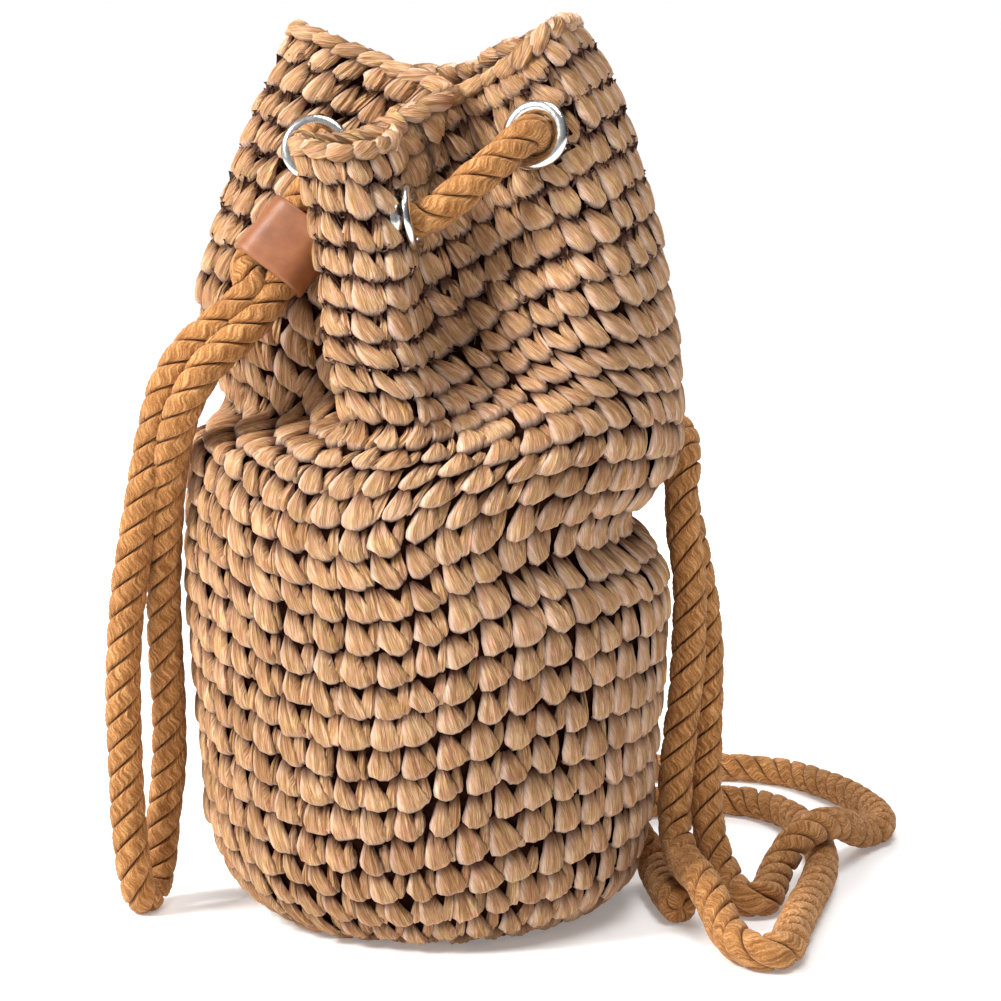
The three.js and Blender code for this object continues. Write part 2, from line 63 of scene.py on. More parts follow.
STITCHES_ROUND = 46
STITCH_ROWS = 33
STITCH_WIDTH = 13.9
ROW_HEIGHT = 14.2
ROW_SHIFT = 0.12  # each row starts this share of a stitch further round
SPLIT_ROW = 17  # the outer wall's stitches are two pieces, below and above this row
PETAL_KINDS = 8
ROPE_LAY = 34.0
KNOT_LAY = 18.0
STRAND_EDGE = 60.0  # half of a strand's share of the turn
BACKING_DEPTH = 3.2
GUIDE_COLUMNS = 4 * STITCHES_ROUND
GUIDE_ROWS = 3
INSIDE_ROWS = 9
RIM_STEPS = 6

# The flat plan of the wall: how far it laps over itself, and the part of its height in use.
LAP_SHARE = 0.1
PLAN_EDGE = 0.02

# height: share of RIM_HEIGHT. wide, deep: half widths, shares of BODY_RADIUS. right: middle's place.
SECTIONS = np.array([
    # height, wide, deep, right
    (0.0, 0.54, 0.585, 0.02),
    (0.004, 0.645, 0.71, 0.02),
    (0.0134, 0.73, 0.785, 0.02),
    (0.0295, 0.806, 0.842, 0.018),
    (0.051, 0.861, 0.883, 0.014),
    (0.08, 0.904, 0.913, 0.008),
    (0.118, 0.931, 0.931, 0.003),
    (0.171, 0.949, 0.949, 0.005),
    (0.241, 0.97, 0.97, 0.005),
    (0.321, 0.995, 0.995, 0.003),
    (0.401, 1.002, 1.0, 0.0),
    (0.468, 1.005, 0.99, 0.01),
    (0.535, 1.015, 0.98, 0.034),
    (0.628, 1.01, 0.96, 0.034),
    (0.722, 0.98, 0.92, 0.02),
    (0.802, 0.926, 0.863, 0.029),
    (0.882, 0.897, 0.804, 0.047),
    (1.0, 0.882, 0.745, 0.098),
])

# The gathered rim from the right lobe by way of the front. x, y: shares of BODY_RADIUS.
# z: share of RIM_HEIGHT. late: how far up the wall turns in.
FOLDS = np.array([
    # turn, x, y, z, late
    (0, 0.608, 0.02, 0.997, 4.0),
    (-22, 0.52, -0.39, 0.979, 2.6),
    (-47, 0.36, -0.36, 0.945, 1.6),
    (-65, 0.17, -0.15, 0.918, 0.62),
    (-79, -0.07, -0.15, 0.896, 0.45),
    (-91, -0.115, -0.56, 0.853, 1.5),
    (-103, -0.255, -0.755, 0.837, 2.2),
    (-115, -0.5, -0.657, 0.848, 1.9),
    (-124, -0.275, -0.45, 0.856, 0.75),
    (-135, 0.059, -0.284, 0.909, 0.45),
    (-150, -0.157, -0.127, 0.944, 0.8),
    (-168, -0.412, -0.088, 0.973, 2.2),
    (-184, -0.549, 0.039, 0.989, 4.0),
    (-205, -0.451, 0.255, 0.979, 2.6),
    (-225, -0.255, 0.265, 0.963, 1.1),
    (-247, -0.157, 0.431, 0.955, 1.5),
    (-270, 0.02, 0.49, 0.952, 2.2),
    (-292, 0.216, 0.431, 0.957, 1.5),
    (-315, 0.294, 0.245, 0.968, 1.1),
    (-338, 0.51, 0.235, 0.989, 2.6),
])

# The two creases: turn, reach, rounded, depth, height, below, above, slope.
CREASES = [
    (0, 82, False, 0.176, 0.449, 0.04, 0.035, 0.00053),
    (-150, 38, True, 0.304, 0.57, 0.0214, 0.075, 0.0),
]

# Folds whose foot lies beside their top: turn, reach, and by how far the foot is turned.
LEANS = [(-122, 16, 13), (-85, 12, -6)]
LEAN_TOP = 0.74

EYELETS = {
    "eyelet_left_front": (-158.5, 0.882),
    "eyelet_bulge_left": (-124.5, 0.895),
    "eyelet_bulge_right": (-88.3, 0.872),
    "eyelet_right_front": (-48, 0.906),
    "eyelet_right_back": (36, 0.869),
    "eyelet_left_back": (145, 0.869),
    "eyelet_heel_right": (62, 0.066),
    "eyelet_heel_left": (112, 0.066),
    "eyelet_heel_side": (20, 0.062),
}

# Rope routes, along the same points as the part's ropes.
PULL_LOOP_LEFT = [
    (-69, -47, 260), (-82, -50, 247), (-95, -49, 235), (-104, -46, 220), (-109, -42, 203),
    (-114, -39, 180), (-119, -36, 155), (-123, -34, 126), (-125, -32, 96), (-125, -30, 66),
    (-124, -29, 40), (-122, -29, 20),
]
PULL_LOOP_RIGHT = [
    (-115, -5, 20), (-113, -7, 38), (-110, -10, 60), (-109, -14, 88), (-109.5, -18, 114),
    (-109, -24, 140), (-107, -31, 163), (-104, -39, 183), (-100, -47, 201), (-94, -54, 217),
    (-85, -56, 231), (-74, -53, 242), (-65, -49, 252),
]
GATHER_LEFT = [(-42.5, -33.5, 316), (-43.5, -36, 306)]
GATHER_RIGHT = [(-31.5, -36.5, 294)]
PULL_LOOP_TIP = [(-120.5, -26, 10), (-119.5, -21, 6.4), (-118, -14, 6.4), (-116.5, -8.5, 10)]
LEFT_STRAP = [
    (-48, 66, 306), (-43, 77, 293), (-32, 89, 278), (-12, 102, 262), (20, 109, 246),
    (52, 102, 230), (80, 82, 216), (93, 69, 209.5), (102.5, 54, 204.5), (109.5, 34, 197.5),
    (110, 18, 188), (108, 9, 172), (109, 5, 155), (111, 2, 138), (111, 1, 118), (110, 0, 95),
    (107.5, 0, 72), (105.5, -1, 50), (105, -4, 35), (106, -14, 26), (108, -30, 22.8),
    (110.5, -46, 22.8), (113, -59, 21.5), (116.5, -72, 15.5), (120, -85, 9.5), (125, -98, 7.7),
    (133, -104.5, 7.5), (140.5, -97, 7.5), (146, -76, 7.5), (154, -46, 7.5), (165, -8, 7.5),
    (173, 28, 7.5), (176, 63, 7.5), (174, 105, 7.5), (167, 131, 7.5), (153, 150, 7.5),
    (132, 156, 7.5), (105, 149, 7.5), (80, 133, 7.5), (64, 117, 10),
]
RIGHT_STRAP = [
    (57, 66, 306), (61, 78, 293), (69, 89, 275), (81, 95, 255), (93, 95, 236), (102, 86, 218),
    (108, 72, 199), (110, 52, 180), (112.5, 38, 162), (115.5, 27, 144), (118.5, 19.5, 126),
    (120, 16.5, 106), (120, 15.5, 80), (119.5, 14, 58), (119.5, 9, 41), (121, 2, 27),
    (124.5, -7, 16), (128.5, -19, 9.5), (133.5, -29.5, 7.6), (140.5, -28, 7.5), (144.5, -15, 8),
    (150, 4, 11.5), (158, 18, 18.5), (167, 29, 22.8), (177, 41, 22.8), (187, 57, 18.5),
    (195, 74, 11.5), (202.5, 86, 8), (210, 97, 7.5), (213.5, 115, 7.5), (212, 142, 7.5),
    (206, 169, 7.5), (196.5, 193, 7.5), (182, 217, 7.5), (158, 231, 7.5), (128, 233, 7.5),
    (96, 224, 7.5), (64, 205, 7.5), (32, 180, 7.5), (4, 154, 7.5), (-18, 131, 8), (-33, 115, 11),
]
STRAP_END = [(53, 55, 28), (55, 43, 28), (60, 31, 29)]
STRAP_END_FLOOR = [
    (96.5, 29, 12.5), (98.5, 15, 7.6), (99.5, -2, 7.5), (101.5, -22, 7.5), (105, -44, 7.5),
]
VALLEY_STRETCH = [(10, -62, 294), (19, -61.5, 302), (29.5, -57, 311)]

SLEEVE_TOP = np.array([-46.5, -38.5, 288.0])
SLEEVE_BOTTOM = np.array([-62.5, -42.5, 268.0])
SLEEVE_ACROSS = np.array([0.779, -0.26, -0.571])
TUBE_RADIUS = ROPE_DIAMETER / 2 - 0.3


def unit(v):
    v = np.asarray(v, float)
    return v / np.linalg.norm(v, axis=-1, keepdims=True)


# The wall


def fold_at(turn):
    rows = FOLDS[np.argsort(FOLDS[:, 0])]
    lap = np.array([360.0, 0, 0, 0, 0])
    rows = np.vstack([rows[-2:] - lap, rows, rows[:2] + lap])
    t = (np.asarray(turn, float) - rows[2, 0]) % 360 + rows[2, 0]
    i = np.clip(np.searchsorted(rows[:, 0], t, side="right") - 1, 2, len(rows) - 3)
    p, a, b, c = rows[i - 1], rows[i], rows[i + 1], rows[np.minimum(i + 2, len(rows) - 1)]
    h = b[..., 0] - a[..., 0]
    s = (t - a[..., 0]) / h
    found = []
    for k in range(1, 5):
        start = (b[..., k] - p[..., k]) / (b[..., 0] - p[..., 0])
        end = (c[..., k] - a[..., k]) / (c[..., 0] - a[..., 0])
        found.append(
            (2 * s**3 - 3 * s**2 + 1) * a[..., k]
            + (s**3 - 2 * s**2 + s) * h * start
            + (-2 * s**3 + 3 * s**2) * b[..., k]
            + (s**3 - s**2) * h * end
        )
    x, y, z, late = found
    return x * BODY_RADIUS, y * BODY_RADIUS, z * RIM_HEIGHT, late


def pressed(turn, height):
    total = 0.0
    for at, reach, rounded, depth, level, below, above, slope in CREASES:
        away = (turn - at + 180) % 360 - 180
        across = np.exp(-((away / reach) ** 2)) if rounded else np.clip(1 - (away / reach) ** 2, 0, 1)
        line = (level + slope * np.clip(away, -reach, reach)) * RIM_HEIGHT
        fade = np.where(height < line, below, above) * RIM_HEIGHT
        total = total + depth * BODY_RADIUS * across * np.exp(-(((height - line) / fade) ** 2))
    return total


def leaned(turn, q):
    left = np.clip(1 - (q / LEAN_TOP) ** 2.5, 0, None)
    away = [((turn - at + 180) % 360 - 180) / reach for at, reach, _ in LEANS]
    return sum(by * left * np.exp(-(far**2)) for far, (_, _, by) in zip(away, LEANS))


def skin(turn, height):
    """Points of the outer skin in millimetres, for arrays of turns and heights."""
    turn, height = np.broadcast_arrays(np.asarray(turn, float), np.asarray(height, float))
    share = np.clip(height / RIM_HEIGHT, 0, 1)
    wide, deep, right = (np.interp(share, SECTIONS[:, 0], SECTIONS[:, k]) * BODY_RADIUS for k in (1, 2, 3))
    press = pressed(turn, height)
    angle = np.radians(turn)
    x = right + (wide - press) * np.cos(angle)
    y = (deep - press) * np.sin(angle)
    q = np.clip((height - WAIST) / (RIM_HEIGHT - WAIST), 0, None)
    rx, ry, rz, late = fold_at(turn - leaned(turn, q))
    b = q**late * (1 - np.exp(-((q / FOLD_START) ** 2)))
    z = np.where(height > WAIST, WAIST + (rz - WAIST) * q, height)
    return np.stack([x + (rx - x) * b, y + (ry - y) * b, z], axis=-1)


def outward(turn, height, patch=1.0):
    low = max(0.0, height - 3 * patch)
    high = min(RIM_HEIGHT, height + 3 * patch)
    across = skin(turn + 1.5 * patch, height) - skin(turn - 1.5 * patch, height)
    up = skin(turn, high) - skin(turn, low)
    return unit(np.cross(across, up))


SEATS = {
    name: (skin(turn, share * RIM_HEIGHT), outward(turn, share * RIM_HEIGHT, 2.4))
    for name, (turn, share) in EYELETS.items()
}


# Ropes


def along_out(name, offset):
    at, out = SEATS[name]
    return at + out * offset


def through(name, way):
    run = [along_out(name, 6), along_out(name, -WALL / 2), along_out(name, -WALL - 5)]
    return run if way == "in" else run[::-1]


def leaving(name):
    return [along_out(name, 6), along_out(name, 11)]


sleeve_middle = (SLEEVE_TOP + SLEEVE_BOTTOM) / 2
sleeve_down = unit(SLEEVE_BOTTOM - SLEEVE_TOP)
sleeve_across = unit(SLEEVE_ACROSS - sleeve_down * SLEEVE_ACROSS.dot(sleeve_down))


def in_sleeve(side, down):
    return sleeve_middle + sleeve_across * side * (TUBE_RADIUS + 0.25) + sleeve_down * down


def centripetal(points, spacing=1.0):
    """A centripetal Catmull-Rom curve through the points, sampled at even spacing."""
    p = np.array(points, float)
    p = np.vstack([2 * p[0] - p[1], p, 2 * p[-1] - p[-2]])
    line = []
    for i in range(1, len(p) - 2):
        a, b, c, d = p[i - 1 : i + 3]
        t1 = np.linalg.norm(b - a) ** 0.5
        t2 = t1 + np.linalg.norm(c - b) ** 0.5
        t3 = t2 + np.linalg.norm(d - c) ** 0.5
        t = np.linspace(t1, t2, 24, endpoint=False)[:, None]
        a1 = (t1 - t) / t1 * a + t / t1 * b
        a2 = (t2 - t) / (t2 - t1) * b + (t - t1) / (t2 - t1) * c
        a3 = (t3 - t) / (t3 - t2) * c + (t - t2) / (t3 - t2) * d
        b1 = (t2 - t) / t2 * a1 + t / t2 * a2
        b2 = (t3 - t) / (t3 - t1) * a2 + (t - t1) / (t3 - t1) * a3
        line.append((t2 - t) / (t2 - t1) * b1 + (t - t1) / (t2 - t1) * b2)
    line = np.vstack([*line, p[-2:-1]])
    far = np.concatenate([[0], np.cumsum(np.linalg.norm(np.diff(line, axis=0), axis=1))])
    count = max(2, round(far[-1] / spacing) + 1)
    at = np.linspace(0, far[-1], count)
    return np.stack([np.interp(at, far, line[:, k]) for k in range(3)], axis=1), far[-1]


ROUTES = {
    "pull_loop": [
        *leaving("eyelet_left_front"), *GATHER_LEFT,
        in_sleeve(-1, -SLEEVE_LENGTH / 2 - 3), in_sleeve(-1, 0), in_sleeve(-1, SLEEVE_LENGTH / 2 + 3),
        *PULL_LOOP_LEFT, *PULL_LOOP_TIP, *PULL_LOOP_RIGHT,
        in_sleeve(1, SLEEVE_LENGTH / 2 + 3), in_sleeve(1, 0), in_sleeve(1, -SLEEVE_LENGTH / 2 - 3),
        *GATHER_RIGHT, *leaving("eyelet_bulge_left")[::-1],
    ],
    "left_strap": [*leaving("eyelet_left_back"), *LEFT_STRAP, *through("eyelet_heel_right", "in")],
    "right_strap": [*leaving("eyelet_right_back"), *RIGHT_STRAP, *through("eyelet_heel_left", "in")],
    "right_lacing": [
        *through("eyelet_bulge_left", "in"), *through("eyelet_bulge_right", "out"), *VALLEY_STRETCH,
        *through("eyelet_right_front", "in"), (51, -10, 316), (54, 10, 314),
        *through("eyelet_right_back", "out"),
    ],
    "left_lacing": [
        *through("eyelet_left_back", "in"), (-52, 14, 312), (-48, 2, 312),
        *through("eyelet_left_front", "out"),
    ],
    "left_strap_end": [*STRAP_END, *through("eyelet_heel_side", "out"), *STRAP_END_FLOOR],
}


def stands_for(piece, part):
    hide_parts(part)
    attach(piece, "root")


def sheet(rows, columns, closed=False):
    """Four-sided faces between rows of points. closed: the last column meets the first."""
    i = np.arange(rows - 1)[:, None] * columns
    j = np.arange(columns if closed else columns - 1)[None]
    k = (j + 1) % columns
    return np.stack([i + j, i + k, i + columns + k, i + columns + j], axis=-1).reshape(-1, 4)


def new_mesh(name, points, faces, uv=None, smooth=True):
    mesh = bpy.data.meshes.new(name)
    mesh.from_pydata([tuple(p) for p in np.asarray(points) * MM], [], [tuple(f) for f in faces])
    if uv is not None:
        layer = mesh.uv_layers.new(name="UVMap")
        corner = np.empty(len(mesh.loops), dtype=np.int32)
        mesh.loops.foreach_get("vertex_index", corner)
        layer.data.foreach_set("uv", np.asarray(uv, dtype=np.float32)[corner].ravel())
    if smooth:
        mesh.polygons.foreach_set("use_smooth", np.ones(len(mesh.polygons), dtype=bool))
    mesh.update()
    return mesh


def new_object(name, mesh, material):
    piece = bpy.data.objects.new(name, mesh)
    bpy.context.scene.collection.objects.link(piece)
    mesh.materials.clear()
    mesh.materials.append(material)
    return piece


def twisted_rope(line, seed, grow=1.0, lay_length=ROPE_LAY):
    """A three-strand rope along a line of points a millimetre apart. grow: its size, at each point."""
    rng = np.random.default_rng(seed)
    count = len(line)
    along = np.gradient(line, axis=0)
    along = unit(along)
    side = np.zeros_like(line)
    start = np.cross(along[0], (0.3, 0.2, 0.9))
    side[0] = unit(start)
    for i in range(1, count):
        side[i] = unit(side[i - 1] - along[i] * side[i - 1].dot(along[i]))
    other = np.cross(along, side)
    far = np.arange(count, dtype=float)
    lay = lay_length * (1 + 0.05 * np.sin(far / 47 + rng.uniform(0, 6)))
    twist = np.cumsum(2 * math.pi / lay)
    bulge = np.radians([-60, -56, -50, -40, -24, 0, 24, 40, 50, 56])
    per_strand = len(bulge)
    local = np.tile(bulge, 3)
    phi = local + np.repeat(np.radians([0, 120, 240]), per_strand)
    open_angle = np.degrees(np.abs(local))
    groove = 1.9 * np.exp(-(((STRAND_EDGE - open_angle) / 6.5) ** 2))
    reach = ROPE_DIAMETER / 2 - 0.85 * (open_angle / STRAND_EDGE) ** 2.4 - groove
    swell = 1 + 0.022 * np.sin(far[:, None] / 8 + rng.uniform(0, 6, 3)[None])
    reach = reach[None] * np.repeat(swell, per_strand, axis=1) * np.broadcast_to(grow, count)[:, None]
    angle = phi[None] + twist[:, None]
    round_it = np.cos(angle)[..., None] * side[:, None] + np.sin(angle)[..., None] * other[:, None]
    points = line[:, None] + reach[..., None] * round_it
    n = 3 * per_strand
    points = points.reshape(-1, 3)
    faces = sheet(count, n, closed=True)
    ends = [list(range(n))[::-1], [(count - 1) * n + m for m in range(n)]]
    return points, [*faces.tolist(), *ends], n


def rope_mesh(name, line, seed, grow=1.0, lay_length=ROPE_LAY):
    points, faces, n = twisted_rope(line, seed, grow, lay_length)
    mesh = new_mesh(name, points, faces)
    layer = mesh.uv_layers.new(name="UVMap")
    corner = np.empty(len(mesh.loops), dtype=np.int32)
    mesh.loops.foreach_get("vertex_index", corner)
    ring, place = corner // n, corner % n
    per_strand = n // 3
    starts = np.empty(len(mesh.polygons), dtype=np.int32)
    mesh.polygons.foreach_get("loop_start", starts)
    first = np.repeat(place[starts], np.diff(np.append(starts, len(corner))))
    place = np.where((place == 0) & (first == n - 1), n, place)
    uv = np.stack([place / per_strand, ring * 0.1], axis=1).astype(np.float32)
    layer.data.foreach_set("uv", uv.ravel())
    return mesh


# Camera, set up for the photograph's frame of 1001 x 1001 pixels

camera = bpy.data.objects.new("camera", bpy.data.cameras.new("camera"))
bpy.context.scene.collection.objects.link(camera)
camera.location = (0.0306, -0.928, 0.2565)
camera.rotation_euler = (math.radians(90 - 5.207), 0, 0)
camera.data.sensor_width = 36
camera.data.lens = 79.1
camera.data.clip_start = 0.01
bpy.context.scene.camera = camera


# Materials


def material(name):
    made = bpy.data.materials.new(name)
    made.use_nodes = True
    made.node_tree.nodes.clear()
    return made, made.node_tree


def feed(tree, target, value):
    """Links a socket, or sets a plain value."""
    if isinstance(value, bpy.types.NodeSocket):
        tree.links.new(value, target)
    else:
        target.default_value = value


def node(tree, kind, **settings):
    """A new node. Names that start with in_ are its inputs, the others its properties."""
    made = tree.nodes.new(kind)
    for key, value in settings.items():
        if not key.startswith("in_"):
            setattr(made, key, value)
    for key, value in settings.items():
        if key.startswith("in_"):
            feed(tree, made.inputs[key[3:].replace("_", " ")], value)
    return made


def finish_material(tree, shader):
    node(tree, "ShaderNodeOutputMaterial", in_Surface=shader.outputs[0])


def coloured_shader(tree, colour, roughness, specular=None):
    shader = node(tree, "ShaderNodeBsdfPrincipled", in_Roughness=roughness, in_Base_Color=colour)
    if specular is not None:
        shader.inputs["Specular IOR Level"].default_value = specular
    return shader


def add_bump(tree, shader, height, strength, distance):
    bump = node(tree, "ShaderNodeBump", in_Strength=strength, in_Distance=distance, in_Height=height)
    tree.links.new(bump.outputs["Normal"], shader.inputs["Normal"])


def ramp(tree, fac, stops):
    made = node(tree, "ShaderNodeValToRGB", in_Fac=fac)
    elements = made.color_ramp.elements
    while len(elements) < len(stops):
        elements.new(0.5)
    for element, (place, colour) in zip(elements, stops):
        element.position = place
        element.color = (*colour, 1)
    return made.outputs["Color"]


def mix(tree, fac, a, b, blend="MIX"):
    made = node(tree, "ShaderNodeMix", data_type="RGBA", blend_type=blend)
    for place, value in ((0, fac), (6, a), (7, b)):
        feed(tree, made.inputs[place], (*value, 1) if isinstance(value, tuple) else value)
    return made.outputs[2]


def math_node(tree, operation, *values, clamp=False):
    made = node(tree, "ShaderNodeMath", operation=operation, use_clamp=clamp)
    for target, value in zip(made.inputs, values):
        feed(tree, target, value)
    return made.outputs[0]


def plus(tree, a, b, clamp=False):
    return math_node(tree, "ADD", a, b, clamp=clamp)


def minus(tree, a, b, clamp=False):
    return math_node(tree, "SUBTRACT", a, b, clamp=clamp)


def times(tree, a, b, clamp=False):
    return math_node(tree, "MULTIPLY", a, b, clamp=clamp)


def noise(tree, vector, scale, detail=4.0, roughness=0.55, distortion=0.0):
    return node(tree, "ShaderNodeTexNoise", in_Vector=vector, in_Scale=scale, in_Detail=detail,
                in_Roughness=roughness, in_Distortion=distortion).outputs["Fac"]


def stretched(tree, vector, scale):
    return node(tree, "ShaderNodeMapping", in_Vector=vector, in_Scale=scale).outputs["Vector"]


def straw_material():
    made, tree = material("paper_straw")
    coords = node(tree, "ShaderNodeTexCoord")
    tone = node(tree, "ShaderNodeAttribute", attribute_name="tone")
    fibre = node(tree, "ShaderNodeAttribute", attribute_name="fibre")
    shift = node(tree, "ShaderNodeVectorMath", operation="ADD")
    spread = node(tree, "ShaderNodeVectorMath", operation="SCALE",
                  in_Vector=tone.outputs["Vector"], in_Scale=37.0)
    tree.links.new(fibre.outputs["Vector"], shift.inputs[0])
    tree.links.new(spread.outputs[0], shift.inputs[1])
    grain = shift.outputs[0]
    broad = noise(tree, stretched(tree, grain, (2.2, 0.8, 1)), 1.6, 3)
    fine = noise(tree, stretched(tree, grain, (14, 1.1, 1)), 2.4, 5, 0.62)
    folds = noise(tree, stretched(tree, grain, (5.0, 0.55, 1)), 1.7, 2, 0.5, 0.4)
    crease = math_node(tree, "ABSOLUTE", minus(tree, folds, 0.5))
    crease = times(tree, crease, 9.0, clamp=True)
    whole = noise(tree, coords.outputs["Object"], 55, 3)
    base = ramp(tree, broad, [
        (0.34, (0.35, 0.172, 0.066)),
        (0.5, (0.51, 0.292, 0.13)),
        (0.66, (0.71, 0.48, 0.295)),
    ])
    lines = ramp(tree, fine, [
        (0.40, (0.22, 0.10, 0.038)),
        (0.5, (0.48, 0.285, 0.13)),
        (0.62, (0.98, 0.80, 0.68)),
    ])
    colour = mix(tree, 0.38, base, lines)
    mottle = noise(tree, stretched(tree, grain, (1.4, 0.9, 1)), 3.1, 3)
    hue = ramp(tree, mottle, [(0.36, (1.04, 0.88, 0.98)), (0.5, (1, 1, 1)), (0.64, (1.02, 1.03, 0.84))])
    colour = mix(tree, 1.0, colour, hue, "MULTIPLY")
    piece = ramp(tree, tone.outputs["Fac"], [
        (0.0, (0.82, 0.74, 0.66)),
        (0.5, (1, 1, 1)),
        (1.0, (1.12, 1.1, 1.08)),
    ])
    colour = mix(tree, 1.0, colour, piece, "MULTIPLY")
    # edge lightens the petal's left side and bottom: a painted highlight
    edge = node(tree, "ShaderNodeAttribute", attribute_name="edge")
    painted_highlight = times(tree, edge.outputs["Fac"], 0.62)
    colour = mix(tree, painted_highlight, colour, (0.99, 0.79, 0.69))
    # Darker along the fold lines: painted shade in the creases
    dark = minus(tree, 1.0, crease, clamp=True)
    colour = mix(tree, times(tree, dark, 0.3), colour, (0.30, 0.14, 0.055))
    # deep darkens the petal's sides, turned-under bottom and top under the row above: painted shade
    deep = node(tree, "ShaderNodeAttribute", attribute_name="deep")
    colour = mix(tree, deep.outputs["Fac"], colour, (0.045, 0.010, 0.008))
    patches = ramp(tree, whole, [(0.35, (0.90, 0.86, 0.80)), (0.65, (1.06, 1.05, 1.04))])
    colour = mix(tree, 1.0, colour, patches, "MULTIPLY")
    shader = coloured_shader(tree, colour, 0.62, 0.2)
    height = plus(tree, times(tree, fine, 0.35), times(tree, crease, 0.65))
    add_bump(tree, shader, height, 0.7, 0.0006)
    finish_material(tree, shader)
    return made


def backing_material():
    made, tree = material("straw_in_shadow")
    coords = node(tree, "ShaderNodeTexCoord")
    spots = noise(tree, coords.outputs["Object"], 260, 4)
    # Near-black: painted shade, seen through the gaps between stitches
    colour = ramp(tree, spots, [(0.35, (0.006, 0.0015, 0.0012)), (0.7, (0.024, 0.008, 0.005))])
    shader = coloured_shader(tree, colour, 0.9, 0.0)
    finish_material(tree, shader)
    return made


def inside_material():
    """The inner wall below the mouth: rows of stitches drawn by the UV map, in stitches and rows."""
    made, tree = material("straw_inside")
    uv = node(tree, "ShaderNodeUVMap", uv_map="UVMap")
    split = node(tree, "ShaderNodeSeparateXYZ", in_Vector=uv.outputs["UV"])
    grain = noise(tree, stretched(tree, uv.outputs["UV"], (9, 1.3, 1)), 2.0, 4)
    bend = times(tree, minus(tree, grain, 0.5), 0.3)
    row = math_node(tree, "FRACT", plus(tree, split.outputs["Y"], bend))
    shift = times(tree, math_node(tree, "FLOOR", split.outputs["Y"]), ROW_SHIFT)
    shifted = plus(tree, split.outputs["X"], shift)
    stitch = math_node(tree, "FRACT", plus(tree, shifted, bend))
    mounds = []
    for place in (row, stitch):
        off = math_node(tree, "ABSOLUTE", minus(tree, place, 0.5))
        drop = times(tree, math_node(tree, "POWER", off, 3.0), 7.6)
        mounds.append(minus(tree, 1.0, drop, clamp=True))
    mound = times(tree, *mounds)
    colour = ramp(tree, grain, [
        (0.38, (0.30, 0.155, 0.062)),
        (0.5, (0.47, 0.28, 0.125)),
        (0.64, (0.66, 0.45, 0.25)),
    ])
    # Near-black between rows and between stitches: painted shade in the grooves
    colour = mix(tree, mound, (0.03, 0.008, 0.005), colour)
    shader = coloured_shader(tree, colour, 0.75)
    add_bump(tree, shader, mound, 1.0, 0.002)
    finish_material(tree, shader)
    return made


def rope_material():
    made, tree = material("twisted_cotton")
    uv = node(tree, "ShaderNodeUVMap", uv_map="UVMap")
    coords = node(tree, "ShaderNodeTexCoord")
    split = node(tree, "ShaderNodeSeparateXYZ", in_Vector=uv.outputs["UV"])
    lean = plus(tree, split.outputs["X"], times(tree, split.outputs["Y"], 0.75))
    wobble = noise(tree, coords.outputs["Object"], 300, 3)
    lean = plus(tree, lean, times(tree, wobble, 0.06))
    fibres = node(tree, "ShaderNodeCombineXYZ", in_X=times(tree, lean, 20.0),
                  in_Y=times(tree, split.outputs["Y"], 1.2))
    yarn = noise(tree, fibres.outputs[0], 1.0, 4, 0.62)
    fuzz = noise(tree, coords.outputs["Object"], 1300, 5, 0.7)
    across = math_node(tree, "FRACT", split.outputs["X"])
    groove = math_node(tree, "ABSOLUTE", minus(tree, across, 0.5))
    groove = times(tree, minus(tree, groove, 0.33), 6.5, clamp=True)
    patch = noise(tree, coords.outputs["Object"], 38, 3)
    colour = ramp(tree, yarn, [
        (0.36, (0.22, 0.085, 0.024)),
        (0.5, (0.39, 0.178, 0.058)),
        (0.66, (0.62, 0.345, 0.148)),
    ])
    specks = ramp(tree, fuzz, [(0.34, (0.72, 0.68, 0.62)), (0.5, (1, 1, 1)), (0.68, (1.28, 1.3, 1.32))])
    colour = mix(tree, 1.0, colour, specks, "MULTIPLY")
    # Near-black in the grooves between strands: painted shade
    colour = mix(tree, times(tree, groove, 0.92), colour, (0.055, 0.014, 0.006))
    tint = ramp(tree, patch, [(0.35, (0.88, 0.84, 0.80)), (0.65, (1.08, 1.06, 1.03))])
    colour = mix(tree, 1.0, colour, tint, "MULTIPLY")
    shader = coloured_shader(tree, colour, 0.92, 0.15)
    shader.inputs["Sheen Weight"].default_value = 0.25
    shader.inputs["Sheen Roughness"].default_value = 0.5
    shader.inputs["Sheen Tint"].default_value = (0.9, 0.7, 0.5, 1)
    height = plus(tree, times(tree, yarn, 0.9), times(tree, fuzz, 0.22))
    add_bump(tree, shader, height, 0.7, 0.0006)
    finish_material(tree, shader)
    return made


def leather_material():
    made, tree = material("tan_leather")
    coords = node(tree, "ShaderNodeTexCoord")
    pores = node(tree, "ShaderNodeTexVoronoi", feature="DISTANCE_TO_EDGE",
                 in_Vector=coords.outputs["Object"], in_Scale=1300)
    soft = noise(tree, coords.outputs["Object"], 90, 4)
    grain = times(tree, pores.outputs["Distance"], 2.5, clamp=True)
    colour = ramp(tree, soft, [
        (0.3, (0.19, 0.060, 0.020)),
        (0.55, (0.27, 0.092, 0.032)),
        (0.75, (0.35, 0.135, 0.05)),
    ])
    shader = coloured_shader(tree, colour, 0.42, 0.45)
    height = plus(tree, times(tree, grain, 0.3), times(tree, soft, 0.7))
    add_bump(tree, shader, height, 0.35, 0.0004)
    finish_material(tree, shader)
    return made


